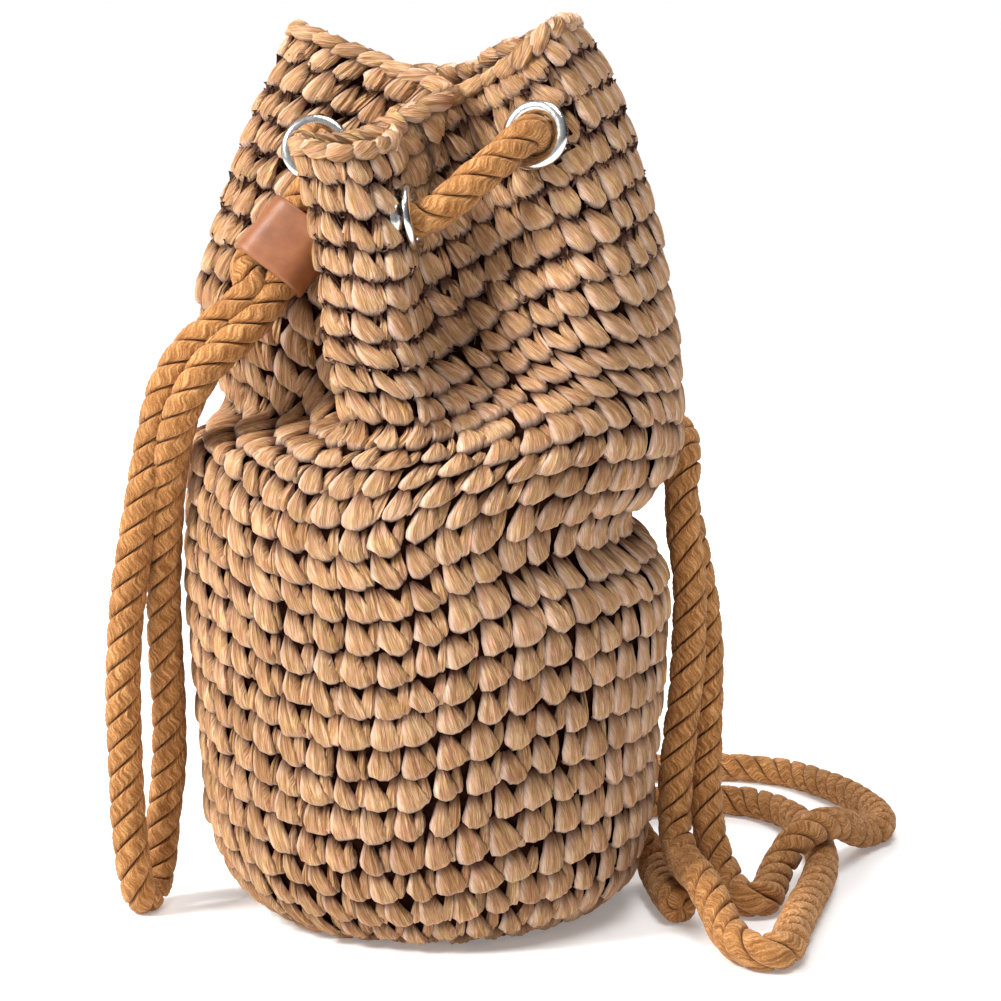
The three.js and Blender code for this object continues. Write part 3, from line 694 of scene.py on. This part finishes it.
def metal_material():
    made, tree = material("polished_eyelet")
    coords = node(tree, "ShaderNodeTexCoord")
    scuffs = noise(tree, coords.outputs["Object"], 700, 4)
    shader = node(tree, "ShaderNodeBsdfPrincipled", in_Metallic=1.0)
    colour = ramp(tree, scuffs, [(0.3, (0.74, 0.74, 0.73)), (0.7, (0.86, 0.86, 0.85))])
    rough = ramp(tree, scuffs, [(0.3, (0.14, 0.14, 0.14)), (0.7, (0.26, 0.26, 0.26))])
    tree.links.new(colour, shader.inputs["Base Color"])
    tree.links.new(rough, shader.inputs["Roughness"])
    finish_material(tree, shader)
    return made


STRAW = straw_material()
SHADOW = backing_material()
INSIDE = inside_material()
ROPE = rope_material()
LEATHER = leather_material()
METAL = metal_material()


# The ropes

rope_pieces = {}
for number, (name, points) in enumerate(ROUTES.items()):
    line, length = centripetal(points)
    from_end = np.minimum(np.arange(len(line)), np.arange(len(line))[::-1])
    rounded = np.sqrt(np.clip(1 - (1 - from_end / 5) ** 2, 0.06, 1))
    grow = np.where(from_end < 5, rounded, 1.0) if name == "left_strap_end" else 1.0
    piece = new_object(name + "_twist", rope_mesh(name + "_twist", line, 40 + number, grow), ROPE)
    stands_for(piece, name)
    rope_pieces[name] = (piece, line * MM, length * MM)


# The guide: the outer wall from the middle of the base, over the rim and down the inside.


def even_turns(height):
    """Turns of the columns at one height, evenly spaced along the skin."""
    fine = 90 + np.linspace(0, 360, 1441)
    points = skin(fine, height)
    far = np.concatenate([[0], np.cumsum(np.linalg.norm(np.diff(points, axis=0), axis=1))])
    return np.interp(np.linspace(0, far[-1], GUIDE_COLUMNS, endpoint=False), far, fine)


def smooth_round(values, times):
    for _ in range(times):
        values = 0.25 * np.roll(values, 1, axis=1) + 0.5 * values + 0.25 * np.roll(values, -1, axis=1)
    return values


def smooth_up(values, times):
    for _ in range(times):
        values[1:-1] = 0.25 * values[:-2] + 0.5 * values[1:-1] + 0.25 * values[2:]
    return values


def wall_guide():
    """Rings of points, a third of a row apart, up the outer wall from the middle of the base."""
    heights = np.concatenate([np.linspace(0, 40, 60, endpoint=False), np.linspace(40, RIM_HEIGHT, 240)])
    turns = smooth_up(np.stack([even_turns(h) for h in heights]), 90)
    rings = skin(turns, heights[:, None])
    disc = np.stack([rings[0] * np.array([s, s, 1]) for s in np.linspace(0.02, 1, 24, endpoint=False)])
    column = np.concatenate([disc, rings])
    far = np.concatenate([
        np.zeros((1, GUIDE_COLUMNS)),
        np.cumsum(np.linalg.norm(np.diff(column, axis=0), axis=2), axis=0),
    ])
    rows = np.linspace(0, STITCH_ROWS, STITCH_ROWS * GUIDE_ROWS + 1)
    places = np.stack([
        np.interp(rows / STITCH_ROWS * far[-1, c], far[:, c], np.arange(len(column)))
        for c in range(GUIDE_COLUMNS)
    ], axis=1)
    places = smooth_round(places, 40)
    below = np.clip(np.floor(places).astype(int), 0, len(column) - 2)
    part = (places - below)[..., None]
    at = np.arange(GUIDE_COLUMNS)[None]
    return rows, column[below, at] * (1 - part) + column[below + 1, at] * part


guide_rows, guide_points = wall_guide()


def surface_out(points, times=2):
    across = np.roll(points, -1, axis=1) - np.roll(points, 1, axis=1)
    up = np.gradient(points, axis=0)
    out = unit(np.cross(across, up) + 1e-9)
    for _ in range(times):
        out = smooth_round(out, 1)
        out[1:-1] = 0.25 * out[:-2] + 0.5 * out[1:-1] + 0.25 * out[2:]
    return unit(out)


guide_out = surface_out(guide_points)
guide_out[:6] = (0, 0, -1)

rim, rim_out = guide_points[-1], guide_out[-1]
rim_up = unit(guide_points[-1] - guide_points[-3])
turned, turned_out = [], []
for k in range(1, RIM_STEPS):
    a = math.pi * k / RIM_STEPS
    centre = rim - rim_out * WALL / 2
    direction = rim_out * math.cos(a) + rim_up * math.sin(a)
    turned.append(centre + direction * WALL / 2)
    turned_out.append(direction)
inner_count = INSIDE_ROWS * GUIDE_ROWS
inner = (guide_points - guide_out * WALL)[::-1][: inner_count + 1]
rim_rows = math.pi * WALL / 2 / ROW_HEIGHT
turn_rows = STITCH_ROWS + rim_rows * np.arange(1, RIM_STEPS) / RIM_STEPS
inner_rows = STITCH_ROWS + rim_rows + np.arange(inner_count + 1) / GUIDE_ROWS
all_points = np.concatenate([guide_points, turned, inner])
all_out = np.concatenate([guide_out, turned_out, -guide_out[::-1][: inner_count + 1]])
all_rows = np.concatenate([guide_rows, turn_rows, inner_rows])
ROW_SPAN = all_rows[-1]


def guide_object():
    """The guide as a hidden mesh, with overlap at the back so that a stitch can cross the seam."""
    lap = 8
    columns = np.arange(-lap, GUIDE_COLUMNS + lap + 1)
    points = all_points[:, columns % GUIDE_COLUMNS].reshape(-1, 3)
    out = all_out[:, columns % GUIDE_COLUMNS].reshape(-1, 3)
    n = len(columns)
    faces = sheet(len(all_rows), n)
    u = (columns / GUIDE_COLUMNS + LAP_SHARE) / (1 + 2 * LAP_SHARE)
    v = PLAN_EDGE + (1 - 2 * PLAN_EDGE) * all_rows / ROW_SPAN
    uv = np.stack(np.meshgrid(u, v), axis=-1).reshape(-1, 2)
    mesh = new_mesh("wall_guide", points, faces, uv)
    attribute = mesh.attributes.new("outward", "FLOAT_VECTOR", "POINT")
    attribute.data.foreach_set("vector", out.astype(np.float32).ravel())
    return bpy.data.objects.new("wall_guide", mesh)


guide = guide_object()


# Petals of folded straw, in stitch widths and row heights, relief in millimetres


ACROSS = np.array([-1.0, -0.8, -0.5, -0.2, 0.12, 0.42, 0.68, 0.86, 1.0])
UP = np.array([-0.06, 0.0, 0.05, 0.16, 0.36, 0.6, 0.82, 1.0])


def petal(name, spine, half, lift, seed, sink=2.9, behind=False):
    """One leg of a stitch. spine: bottom and top (x, y). half: half widths. lift: height above the wall."""
    rng = np.random.default_rng(seed)
    (x0, y0), (x1, y1) = spine
    wide = np.interp(UP, [-0.06, 0.0, 0.1, 0.34, 0.65, 1.0],
                     [half[0] * 0.86, half[0] * 0.94, half[0], half[1], half[2], half[3]])
    centre_x = x0 + (x1 - x0) * np.clip(UP, 0, 1) ** rng.uniform(0.8, 1.25)
    centre_y = y0 + (y1 - y0) * UP
    ridge = rng.uniform(0.15, 0.55, len(ACROSS)) * np.where(np.arange(len(ACROSS)) % 2, 1, -1)
    ridge *= rng.choice([-1, 1])
    ridge[[0, -1]] = 0
    shift = np.cumsum(rng.normal(0, 0.012, (len(UP), len(ACROSS))), axis=0)
    shift[:, [0, -1]] *= 0.5
    shift[:2] = 0
    x = centre_x[:, None] + wide[:, None] * ACROSS[None] + shift
    corners = rng.uniform(0.08, 0.22, 2)
    blunt = np.where(ACROSS < 0, corners[0], corners[1]) * np.clip((np.abs(ACROSS) - 0.45) / 0.55, 0, 1)
    blunt += rng.uniform(-0.02, 0.02, len(ACROSS))
    tilt = rng.uniform(-0.09, 0.10)
    fade = np.clip(1 - UP / 0.3, 0, 1)
    y = centre_y[:, None] + fade[:, None] * (blunt + tilt * ACROSS)[None]
    crest = lift + np.array([-3.0, -1.3, -0.25, 0.1, 0.0, -0.45, -1.5, -sink])
    round_off = -2.0 * np.abs(ACROSS) ** 3.4
    z = crest[:, None] + round_off[None] + ridge[None] * np.clip(1.15 - np.abs(UP - 0.4), 0.3, 1)[:, None]
    points = np.stack([x, y, z], axis=-1).reshape(-1, 3)
    n = len(ACROSS)
    faces = sheet(len(UP), n)
    mesh = bpy.data.meshes.new(name)
    mesh.from_pydata([tuple(p) for p in points], [], [tuple(f) for f in faces.tolist()])
    mesh.polygons.foreach_set("use_smooth", np.ones(len(mesh.polygons), dtype=bool))
    folded = rng.choice(np.arange(2, n - 2), 3, replace=False)
    ends = np.empty(len(mesh.edges) * 2, dtype=np.int32)
    mesh.edges.foreach_get("vertices", ends)
    ends = ends.reshape(-1, 2)
    lengthwise = np.abs(ends[:, 0] - ends[:, 1]) == n
    mesh.edges.foreach_set("use_edge_sharp", lengthwise & np.isin(ends[:, 0] % n, folded))
    fibre = np.stack([
        np.broadcast_to(ACROSS[None], (len(UP), n)) * wide[:, None] * 2,
        np.broadcast_to(UP[:, None], (len(UP), n)),
        np.zeros((len(UP), n)),
    ], axis=-1).reshape(-1, 3)
    # edge is a painted highlight: pale on the left side, towards the key light, and along the bottom; weaker
    # on petals that sit behind
    left_painted_highlight = np.clip((-ACROSS - 0.5) / 0.4, 0, 1) * (0.35 if behind else 1.0)
    edge = np.maximum(left_painted_highlight[None], 0.7 * np.clip(1 - UP / 0.07, 0, 1)[:, None])
    edge = np.broadcast_to(edge, (len(UP), n)).ravel()
    # deep is painted shade: dark at the right side, away from the key light, at the left side, most on petals
    # that sit behind a neighbour, at the bottom where it turns under and towards the top, under the row above
    right_painted_shade = np.clip((ACROSS - 0.8) / 0.2, 0, 1) * 0.85
    left_painted_shade = np.clip((-ACROSS - 0.86) / 0.14, 0, 1) * (0.9 if behind else 0.45)
    sides = right_painted_shade + left_painted_shade
    ends = np.interp(UP, [-0.06, 0.0, 0.05, 0.36, 0.6, 0.82, 1.0], [0.85, 0.3, 0.0, 0.0, 0.18, 0.72, 1.0])
    deep = np.clip(ends[:, None] + sides[None], 0, 1).ravel()
    for label, values in (("fibre", fibre), ("edge", edge), ("deep", deep)):
        vector = label == "fibre"
        layer = mesh.attributes.new(label, "FLOAT_VECTOR" if vector else "FLOAT", "POINT")
        layer.data.foreach_set("vector" if vector else "value", values.astype(np.float32).ravel())
    return bpy.data.objects.new(name, mesh)


def petal_set(name, seed, spine, half, lift, sink=2.9, behind=False):
    """Petals that differ a little, in a collection for the instances."""
    rng = np.random.default_rng(seed)
    made = bpy.data.collections.new(name)
    (x0, y0), (x1, y1) = spine
    for k in range(PETAL_KINDS):
        lean, grow = rng.uniform(-0.06, 0.06), rng.uniform(-0.04, 0.05)
        made.objects.link(petal(
            f"{name}_{k}",
            ((x0 + lean / 2, y0 + rng.uniform(-0.04, 0.04)), (x1 - lean, y1)),
            [h + grow for h in half],
            lift + rng.uniform(-0.35, 0.45),
            seed * 100 + k,
            sink,
            behind,
        ))
    return made


broad_petals = petal_set("broad_petals", 1, ((-0.06, 0.0), (-0.29, 1.16)), (0.43, 0.42, 0.27, 0.12), 0.6)
narrow_petals = petal_set(
    "narrow_petals", 2, ((0.29, 0.08), (0.31, 1.14)), (0.2, 0.21, 0.16, 0.09), -0.9, behind=True,
)
rim_petals = petal_set("rim_petals", 3, ((0.0, -0.62), (0.04, 0.68)), (0.23, 0.29, 0.26, 0.12), 1.7, 3.4)


# The crochet tree: petals on flat marks, wrapped onto the guide


def socket(tree, name, kind, default=None):
    made = tree.interface.new_socket(name=name, in_out="INPUT", socket_type=kind)
    if default is not None:
        made.default_value = default
    return made


def crochet_tree():
    tree = bpy.data.node_groups.new("crochet", "GeometryNodeTree")
    tree.interface.new_socket(name="Geometry", in_out="OUTPUT", socket_type="NodeSocketGeometry")
    for name, kind, default in (
        ("Geometry", "Geometry", None), ("Guide", "Object", None),
        ("Petals", "Collection", None), ("Seed", "Int", 1),
        ("Stitches Round", "Float", float(STITCHES_ROUND)), ("Row Span", "Float", float(ROW_SPAN)),
        ("Turn Spread", "Float", 0.1), ("Size Spread", "Float", 0.1), ("Relief Spread", "Float", 0.5),
        ("Straw", "Material", None),
    ):
        socket(tree, name, "NodeSocket" + kind, default)
    link = tree.links.new

    def add(kind, **settings):
        return node(tree, kind, **settings)

    def calc(operation, *values):
        return math_node(tree, operation, *values)

    def chance(low, high, salt, kind="FLOAT"):
        made = add("FunctionNodeRandomValue", data_type=kind)
        wanted = {"FLOAT": (2, 3, 1), "INT": (4, 5, 2)}[kind]
        for value, place in zip((low, high), wanted):
            feed(tree, made.inputs[place], value)
        link(calc("ADD", given.outputs["Seed"], float(salt)), made.inputs["Seed"])
        return made.outputs[wanted[2]]

    def stored(name, kind="FLOAT"):
        made = add("GeometryNodeInputNamedAttribute", data_type=kind)
        made.inputs["Name"].default_value = name
        return made.outputs["Attribute"]

    given = add("NodeGroupInput")
    source = add("GeometryNodeCollectionInfo", transform_space="ORIGINAL")
    link(given.outputs["Petals"], source.inputs["Collection"])
    source.inputs["Separate Children"].default_value = True
    source.inputs["Reset Children"].default_value = True
    placed = add("GeometryNodeInstanceOnPoints")
    link(given.outputs["Geometry"], placed.inputs["Points"])
    link(source.outputs[0], placed.inputs["Instance"])
    placed.inputs["Pick Instance"].default_value = True
    link(chance(0, PETAL_KINDS - 1, 1, "INT"), placed.inputs["Instance Index"])
    spread = given.outputs["Turn Spread"]
    spin = calc("ADD", stored("spin"), chance(calc("MULTIPLY", spread, -1.0), spread, 2))
    rotation = add("ShaderNodeCombineXYZ", in_Z=spin)
    link(rotation.outputs[0], placed.inputs["Rotation"])
    spread = given.outputs["Size Spread"]
    smallest, largest = calc("SUBTRACT", 1.0, spread), calc("ADD", 1.0, spread)
    grow, grow_up = chance(smallest, largest, 3), chance(smallest, largest, 4)
    wide, tall = calc("MULTIPLY", grow, stored("wide")), calc("MULTIPLY", grow_up, stored("tall"))
    size = add("ShaderNodeCombineXYZ", in_X=wide, in_Y=tall, in_Z=1.0)
    link(size.outputs[0], placed.inputs["Scale"])
    spread = given.outputs["Relief Spread"]
    lift = chance(calc("MULTIPLY", spread, -1.0), spread, 6)
    marked = placed
    for label, value in (("tone", chance(0.0, 1.0, 5)), ("lift", lift)):
        marked = add("GeometryNodeStoreNamedAttribute", data_type="FLOAT", domain="INSTANCE",
                     in_Geometry=marked.outputs[0], in_Name=label, in_Value=value)
    real = add("GeometryNodeRealizeInstances", in_Geometry=marked.outputs[0])
    place = add("GeometryNodeInputPosition")
    split = add("ShaderNodeSeparateXYZ")
    link(place.outputs[0], split.inputs[0])
    u = calc("DIVIDE", split.outputs["X"], given.outputs["Stitches Round"])
    u = calc("DIVIDE", calc("ADD", u, LAP_SHARE), 1 + 2 * LAP_SHARE)
    v = calc("DIVIDE", split.outputs["Y"], given.outputs["Row Span"])
    v = calc("ADD", calc("MULTIPLY", v, 1 - 2 * PLAN_EDGE), PLAN_EDGE)
    flat = add("ShaderNodeCombineXYZ", in_X=u, in_Y=v)
    skin_info = add("GeometryNodeObjectInfo", transform_space="ORIGINAL")
    link(given.outputs["Guide"], skin_info.inputs["Object"])

    def sampled(value):
        made = add("GeometryNodeSampleUVSurface", data_type="FLOAT_VECTOR",
                   in_Mesh=skin_info.outputs["Geometry"], in_Value=value,
                   in_UV_Map=stored("UVMap", "FLOAT_VECTOR"), in_Sample_UV=flat.outputs[0])
        return made.outputs["Value"]

    on_skin = sampled(add("GeometryNodeInputPosition").outputs[0])
    out = sampled(stored("outward", "FLOAT_VECTOR"))
    relief = calc("MULTIPLY", calc("ADD", split.outputs["Z"], stored("lift")), MM)
    push = add("ShaderNodeVectorMath", operation="SCALE", in_Vector=out, in_Scale=relief)
    total = add("ShaderNodeVectorMath", operation="ADD")
    link(on_skin, total.inputs[0])
    link(push.outputs[0], total.inputs[1])
    wrapped = add("GeometryNodeSetPosition", in_Geometry=real.outputs[0], in_Position=total.outputs[0])
    coloured = add("GeometryNodeSetMaterial", in_Geometry=wrapped.outputs[0],
                   in_Material=given.outputs["Straw"])
    result = add("NodeGroupOutput")
    link(coloured.outputs[0], result.inputs[0])
    return tree


CROCHET = crochet_tree()


def set_inputs(modifier, **values):
    """Sets a modifier's inputs by the sockets' identifiers."""
    for item in modifier.node_group.interface.items_tree:
        key = item.name.lower().replace(" ", "_")
        if item.item_type == "SOCKET" and item.in_out == "INPUT" and key in values:
            modifier[item.identifier] = values[key]


def marks_mesh(marks):
    """Marks: rows of x, y, wide, tall, spin."""
    marks = np.array(marks, float)
    mesh = bpy.data.meshes.new("marks")
    flat = np.concatenate([marks[:, :2], np.zeros((len(marks), 1))], axis=1)
    mesh.from_pydata([tuple(p) for p in flat], [], [])
    for k, label in enumerate(("wide", "tall", "spin"), start=2):
        layer = mesh.attributes.new(label, "FLOAT", "POINT")
        layer.data.foreach_set("value", marks[:, k].astype(np.float32))
    return mesh


def petal_mesh(name, marks, petals, seed, **values):
    carrier = bpy.data.objects.new(name + "_marks", marks_mesh(marks))
    bpy.context.scene.collection.objects.link(carrier)
    modifier = carrier.modifiers.new("crochet", "NODES")
    modifier.node_group = CROCHET
    set_inputs(modifier, guide=guide, petals=petals, seed=seed, stitches_round=float(STITCHES_ROUND),
               row_span=float(ROW_SPAN), straw=STRAW, **values)
    bpy.context.view_layer.update()
    graph = bpy.context.evaluated_depsgraph_get()
    made = bpy.data.meshes.new_from_object(carrier.evaluated_get(graph))
    made.name = name
    carrier.modifiers.clear()
    bpy.data.objects.remove(carrier)
    return made


def trim_at_eyelets(mesh, radius=11.4, deep=5.4):
    """Clears the straw out of every eyelet's bore; the flange covers the cut."""
    points = np.empty(len(mesh.vertices) * 3, dtype=np.float32)
    mesh.vertices.foreach_get("co", points)
    points = points.reshape(-1, 3) / MM
    inside = np.zeros(len(points), dtype=bool)
    for at, out in SEATS.values():
        away = points - at
        along = away @ out
        across = np.linalg.norm(away - along[:, None] * out, axis=1)
        inside |= (across < radius) & (np.abs(along + WALL / 2) < deep)
    work = bmesh.new()
    work.from_mesh(mesh)
    work.verts.ensure_lookup_table()
    bmesh.ops.delete(work, geom=[work.verts[i] for i in np.nonzero(inside)[0]], context="VERTS")
    work.to_mesh(mesh)
    work.free()


def stitch_marks(first, last):
    """Marks for rows of stitches. Rounds near the middle of the base hold fewer, wider ones."""
    rng = np.random.default_rng(first + 900)
    closed = np.concatenate([guide_points, guide_points[:, :1]], axis=1)
    ring_lengths = np.linalg.norm(np.diff(closed, axis=1), axis=2).sum(axis=1)
    marks = []
    for row in range(first, last):
        ring = np.interp(row + 0.5, guide_rows, ring_lengths)
        count = STITCHES_ROUND if row > 9 else int(min(STITCHES_ROUND, max(6, round(ring / STITCH_WIDTH))))
        wide = STITCHES_ROUND / count
        for k in range(count):
            x = ((k + 0.5 + ROW_SHIFT * row) % count) * wide
            marks.append((x + rng.uniform(-0.05, 0.05), row + rng.uniform(-0.06, 0.06), wide, 1.0, 0.0))
    return marks


def crochet_piece(name, marks, seed):
    meshes = [
        petal_mesh(label, marks, petals, number, turn_spread=turn, size_spread=size, relief_spread=relief)
        for label, petals, number, turn, size, relief in (
            (name, broad_petals, seed, 0.12, 0.12, 0.6),
            (name + "_b", narrow_petals, seed + 50, 0.14, 0.13, 0.5),
        )
    ]
    parts = [bpy.data.objects.new(m.name, m) for m in meshes]
    for part in parts:
        bpy.context.scene.collection.objects.link(part)
    with bpy.context.temp_override(active_object=parts[0], selected_editable_objects=parts):
        bpy.ops.object.join()
    piece = parts[0]
    piece.name = name
    trim_at_eyelets(piece.data)
    return piece


# Straw pieces

lower = crochet_piece("lower_stitches", stitch_marks(0, SPLIT_ROW), 11)
upper = crochet_piece("upper_stitches", stitch_marks(SPLIT_ROW, STITCH_ROWS), 23)
inner_start = STITCH_ROWS + rim_rows


def inside_marks():
    """Rows of stitches on the inner wall near the mouth, which hang down into the bag."""
    return [
        (k + 0.5 + ROW_SHIFT * row, inner_start + row + 0.1, 1.0, 1.0, math.pi)
        for row in range(1, INSIDE_ROWS - 1)
        for k in range(STITCHES_ROUND)
    ]


def rim_marks():
    """Chain stitches laid along the rim, a leg on its outer edge and a leg on its inner edge."""
    links = round(STITCHES_ROUND * 1.15)
    pitch = STITCHES_ROUND / links
    marks = []
    for k in range(links):
        for side in (-1, 1):
            y = STITCH_ROWS + rim_rows / 2 + side * 0.19
            marks.append(((k + 0.5 + 0.08 * side) * pitch, y, 1.25, 1.12, -math.pi / 2 - side * 0.42))
    return marks


inside = crochet_piece("inside_stitches", inside_marks(), 37)
braid_mesh = petal_mesh(
    "rim_braid", rim_marks(), rim_petals, 61, turn_spread=0.13, size_spread=0.12, relief_spread=0.5,
)
braid = bpy.data.objects.new("rim_braid", braid_mesh)
bpy.context.scene.collection.objects.link(braid)


def backing_piece():
    """The wall behind the stitches, near-black as painted shade in the gaps, and the inner wall with rows of
    stitches in its material.
    """
    outer = guide_points - guide_out * BACKING_DEPTH
    inner_wall = (guide_points - guide_out * (WALL - 0.6))[::-1]
    low = np.linspace(0, 2.2, 4)[:, None, None] * (guide_points[-1] - guide_points[-2])[None]
    low = low / np.linalg.norm(guide_points[-1] - guide_points[-2], axis=-1)[None, :, None]
    outer[-4:] -= low
    inner_wall[:4] -= low[::-1]
    rings = np.concatenate([outer, inner_wall])
    lap = np.arange(GUIDE_COLUMNS + 1)
    n = len(lap)
    points = rings[:, lap % GUIDE_COLUMNS].reshape(-1, 3)
    rows = np.concatenate([guide_rows, guide_rows[::-1]])
    uv = np.stack(np.meshgrid(lap / 4, rows), axis=-1).reshape(-1, 2)
    faces = sheet(len(rings), n)
    mesh = new_mesh("wall_backing", points, faces.tolist(), uv)
    piece = new_object("wall_backing", mesh, SHADOW)
    mesh.materials.append(INSIDE)
    mesh.polygons.foreach_set("material_index", (faces[:, 0] >= len(outer) * n).astype(np.int32))
    trim_at_eyelets(mesh, 10.0)
    return piece


backing = backing_piece()
for piece in (lower, upper, inside, braid, backing):
    stands_for(piece, "bag_body")


# Eyelets, sleeve and knots


def looped_faces(rings, sides):
    """Faces of a tube whose last ring meets its first."""
    faces = []
    for p in range(rings):
        q = (p + 1) % rings
        for s in range(sides):
            t = (s + 1) % sides
            faces.append((p * sides + s, p * sides + t, q * sides + t, q * sides + s))
    return faces


def lathe(profile, at, out, sides=56):
    side = unit(np.cross(out, (0.2, 0.9, 0.1)))
    other = np.cross(out, side)
    angles = np.linspace(0, 2 * math.pi, sides, endpoint=False)
    ring = np.cos(angles)[:, None] * side + np.sin(angles)[:, None] * other
    points = np.concatenate([at + r * ring + h * out for r, h in profile])
    return points, looped_faces(len(profile), sides)


def eyelet_piece(name):
    at, out = SEATS[name]
    hole, barrel = EYELET_HOLE / 2, EYELET_BARREL / 2
    flange, washer = EYELET_FLANGE / 2, EYELET_WASHER / 2
    top, low = -0.1, -WALL - 0.3
    middle = (hole + flange) / 2
    reach = (flange - hole) / 2
    profile = [(barrel, low), (barrel, top), (flange - 0.5, top)]
    for k in range(0, 11):
        a = math.pi * k / 10
        profile.append((middle + reach * math.cos(a), top + 0.35 + EYELET_FLANGE_HEIGHT * math.sin(a) ** 0.8))
    profile += [(hole, top - 0.6), (hole, low - 0.4)]
    for k in range(0, 6):
        a = math.pi * k / 5
        profile.append((
            (hole + washer) / 2 - (washer - hole) / 2 * math.cos(a),
            low - 0.2 - (EYELET_WASHER_HEIGHT - 0.2) * math.sin(a),
        ))
    profile.append((washer, low))
    points, faces = lathe(profile, at, out)
    mesh = new_mesh(name + "_ring", points, [f[::-1] for f in faces])
    piece = new_object(name + "_ring", mesh, METAL)
    stands_for(piece, name)


for name in EYELETS:
    eyelet_piece(name)


def sleeve_piece():
    wide, thick = 2 * ROPE_DIAMETER + 1, ROPE_DIAMETER + 1
    facing = np.cross(sleeve_down, sleeve_across)

    def outline(grow, count=20):
        r = thick / 2 + grow
        flat = wide / 2 - thick / 2
        turn = np.linspace(-math.pi / 2, math.pi / 2, count)
        right = [(flat + r * math.cos(a), r * math.sin(a)) for a in turn]
        turn = np.linspace(math.pi / 2, 3 * math.pi / 2, count)
        left = [(-flat + r * math.cos(a), r * math.sin(a)) for a in turn]
        return np.array(right + left)

    half = SLEEVE_LENGTH / 2
    steps = [(-half, 0.15), (-half, SLEEVE_LEATHER - 0.4), (-half + 0.4, SLEEVE_LEATHER)]
    steps += [(-half + 1.6, SLEEVE_LEATHER + 0.25)]
    steps += [(d, SLEEVE_LEATHER) for d in (-half + 3.2, -half / 2, 0, half / 2, half - 3.2)]
    steps += [(half - 1.6, SLEEVE_LEATHER + 0.25), (half - 0.4, SLEEVE_LEATHER)]
    steps += [(half, SLEEVE_LEATHER - 0.4), (half, 0.15)]
    steps += [(half * 0.5, 0.0), (-half * 0.5, 0.0)]
    rings = []
    for down, grow in steps:
        flat = outline(grow)
        rings.append(sleeve_middle + flat[:, :1] * sleeve_across + flat[:, 1:] * facing + down * sleeve_down)
    mesh = new_mesh("sleeve_leather", np.concatenate(rings), looped_faces(len(rings), len(rings[0])))
    piece = new_object("sleeve_leather", mesh, LEATHER)
    stands_for(piece, "leather_sleeve")
    return piece


sleeve = sleeve_piece()


def knot_piece(name, eyelet):
    """The rope's end inside the heel, its strands turned round into a stopper."""
    at, out = SEATS[eyelet]
    along = np.linspace(-KNOT_HALF_LENGTH, KNOT_HALF_LENGTH, 25)
    line = at + (along - WALL - 5.3 - KNOT_HALF_LENGTH)[:, None] * out
    share = np.clip(1 - (np.abs(along) / (KNOT_HALF_LENGTH + 0.01)) ** 2.6, 0, 1) ** (1 / 2.6)
    grow = np.clip(KNOT_RADIUS * share, 1.5, None) / (ROPE_DIAMETER / 2)
    piece = new_object(name + "_turns", rope_mesh(name + "_turns", line, 71, grow, KNOT_LAY), ROPE)
    stands_for(piece, name)


knot_piece("left_strap_knot", "eyelet_heel_right")
knot_piece("right_strap_knot", "eyelet_heel_left")


# The pull loop and the straps: their pieces, paths and lengths are unpacked and not used further

for name in ("pull_loop", "left_strap", "right_strap"):
    piece, path, length = rope_pieces[name]


# Floor and light


def floor_material():
    made, tree = material("pale_floor")
    shader = node(tree, "ShaderNodeBsdfPrincipled", in_Roughness=0.85)
    shader.inputs["Base Color"].default_value = (0.9, 0.9, 0.9, 1)
    shader.inputs["Specular IOR Level"].default_value = 0.0
    # The floor glows, faintly near the bag and more further off: painted light that keeps it white
    shader.inputs["Emission Color"].default_value = (1, 1, 1, 1)
    coords = node(tree, "ShaderNodeTexCoord")
    far = node(tree, "ShaderNodeVectorMath", operation="LENGTH", in_Vector=coords.outputs["Object"])
    glow = node(tree, "ShaderNodeMapRange", in_Value=far.outputs["Value"], in_From_Min=0.4, in_From_Max=2.2,
                in_To_Min=0.2, in_To_Max=0.85)
    tree.links.new(glow.outputs[0], shader.inputs["Emission Strength"])
    finish_material(tree, shader)
    return made


floor_mesh = bpy.data.meshes.new("floor")
floor_mesh.from_pydata([(-8, -4, 0), (8, -4, 0), (8, 12, 0), (-8, 12, 0)], [], [(0, 1, 2, 3)])
floor = new_object("floor", floor_mesh, floor_material())


def studio_world():
    """White wherever the lens sees it; it lights the bag from behind and the left more than the right."""
    world = bpy.data.worlds.new("studio")
    world.use_nodes = True
    tree = world.node_tree
    coords = node(tree, "ShaderNodeTexCoord")
    split = node(tree, "ShaderNodeSeparateXYZ", in_Vector=coords.outputs["Generated"])
    around = minus(tree, 0.27, times(tree, split.outputs["X"], 0.25))
    behind = times(tree, minus(tree, split.outputs["Y"], 0.6), 4.0, clamp=True)
    seen = node(tree, "ShaderNodeLightPath").outputs["Is Camera Ray"]
    white = math_node(tree, "MAXIMUM", behind, seen)
    dimmed = times(tree, around, minus(tree, 1.0, white))
    strength = plus(tree, dimmed, white)
    sky = tree.nodes["Background"]
    sky.inputs["Color"].default_value = (1, 1, 1, 1)
    tree.links.new(strength, sky.inputs["Strength"])
    return world


bpy.context.scene.world = studio_world()


def area_light(name, at, toward, size, power, colour=(1, 1, 1)):
    data = bpy.data.lights.new(name, "AREA")
    data.shape = "SQUARE"
    data.size = size
    data.energy = power
    data.color = colour
    lamp = bpy.data.objects.new(name, data)
    lamp.location = at
    lamp.rotation_euler = (Vector(toward) - Vector(at)).to_track_quat("-Z", "Y").to_euler()
    bpy.context.scene.collection.objects.link(lamp)


area_light("key", (-1.25, -0.68, 1.22), (0, 0, 0.18), 0.5, 41, (1, 0.985, 0.965))
area_light("top", (0.25, -0.5, 2.0), (0, 0, 0.2), 0.9, 25)
area_light("rear", (0.15, 1.5, 1.1), (0, 0, 0.2), 0.8, 15)

bpy.context.scene.view_settings.view_transform = "Standard"
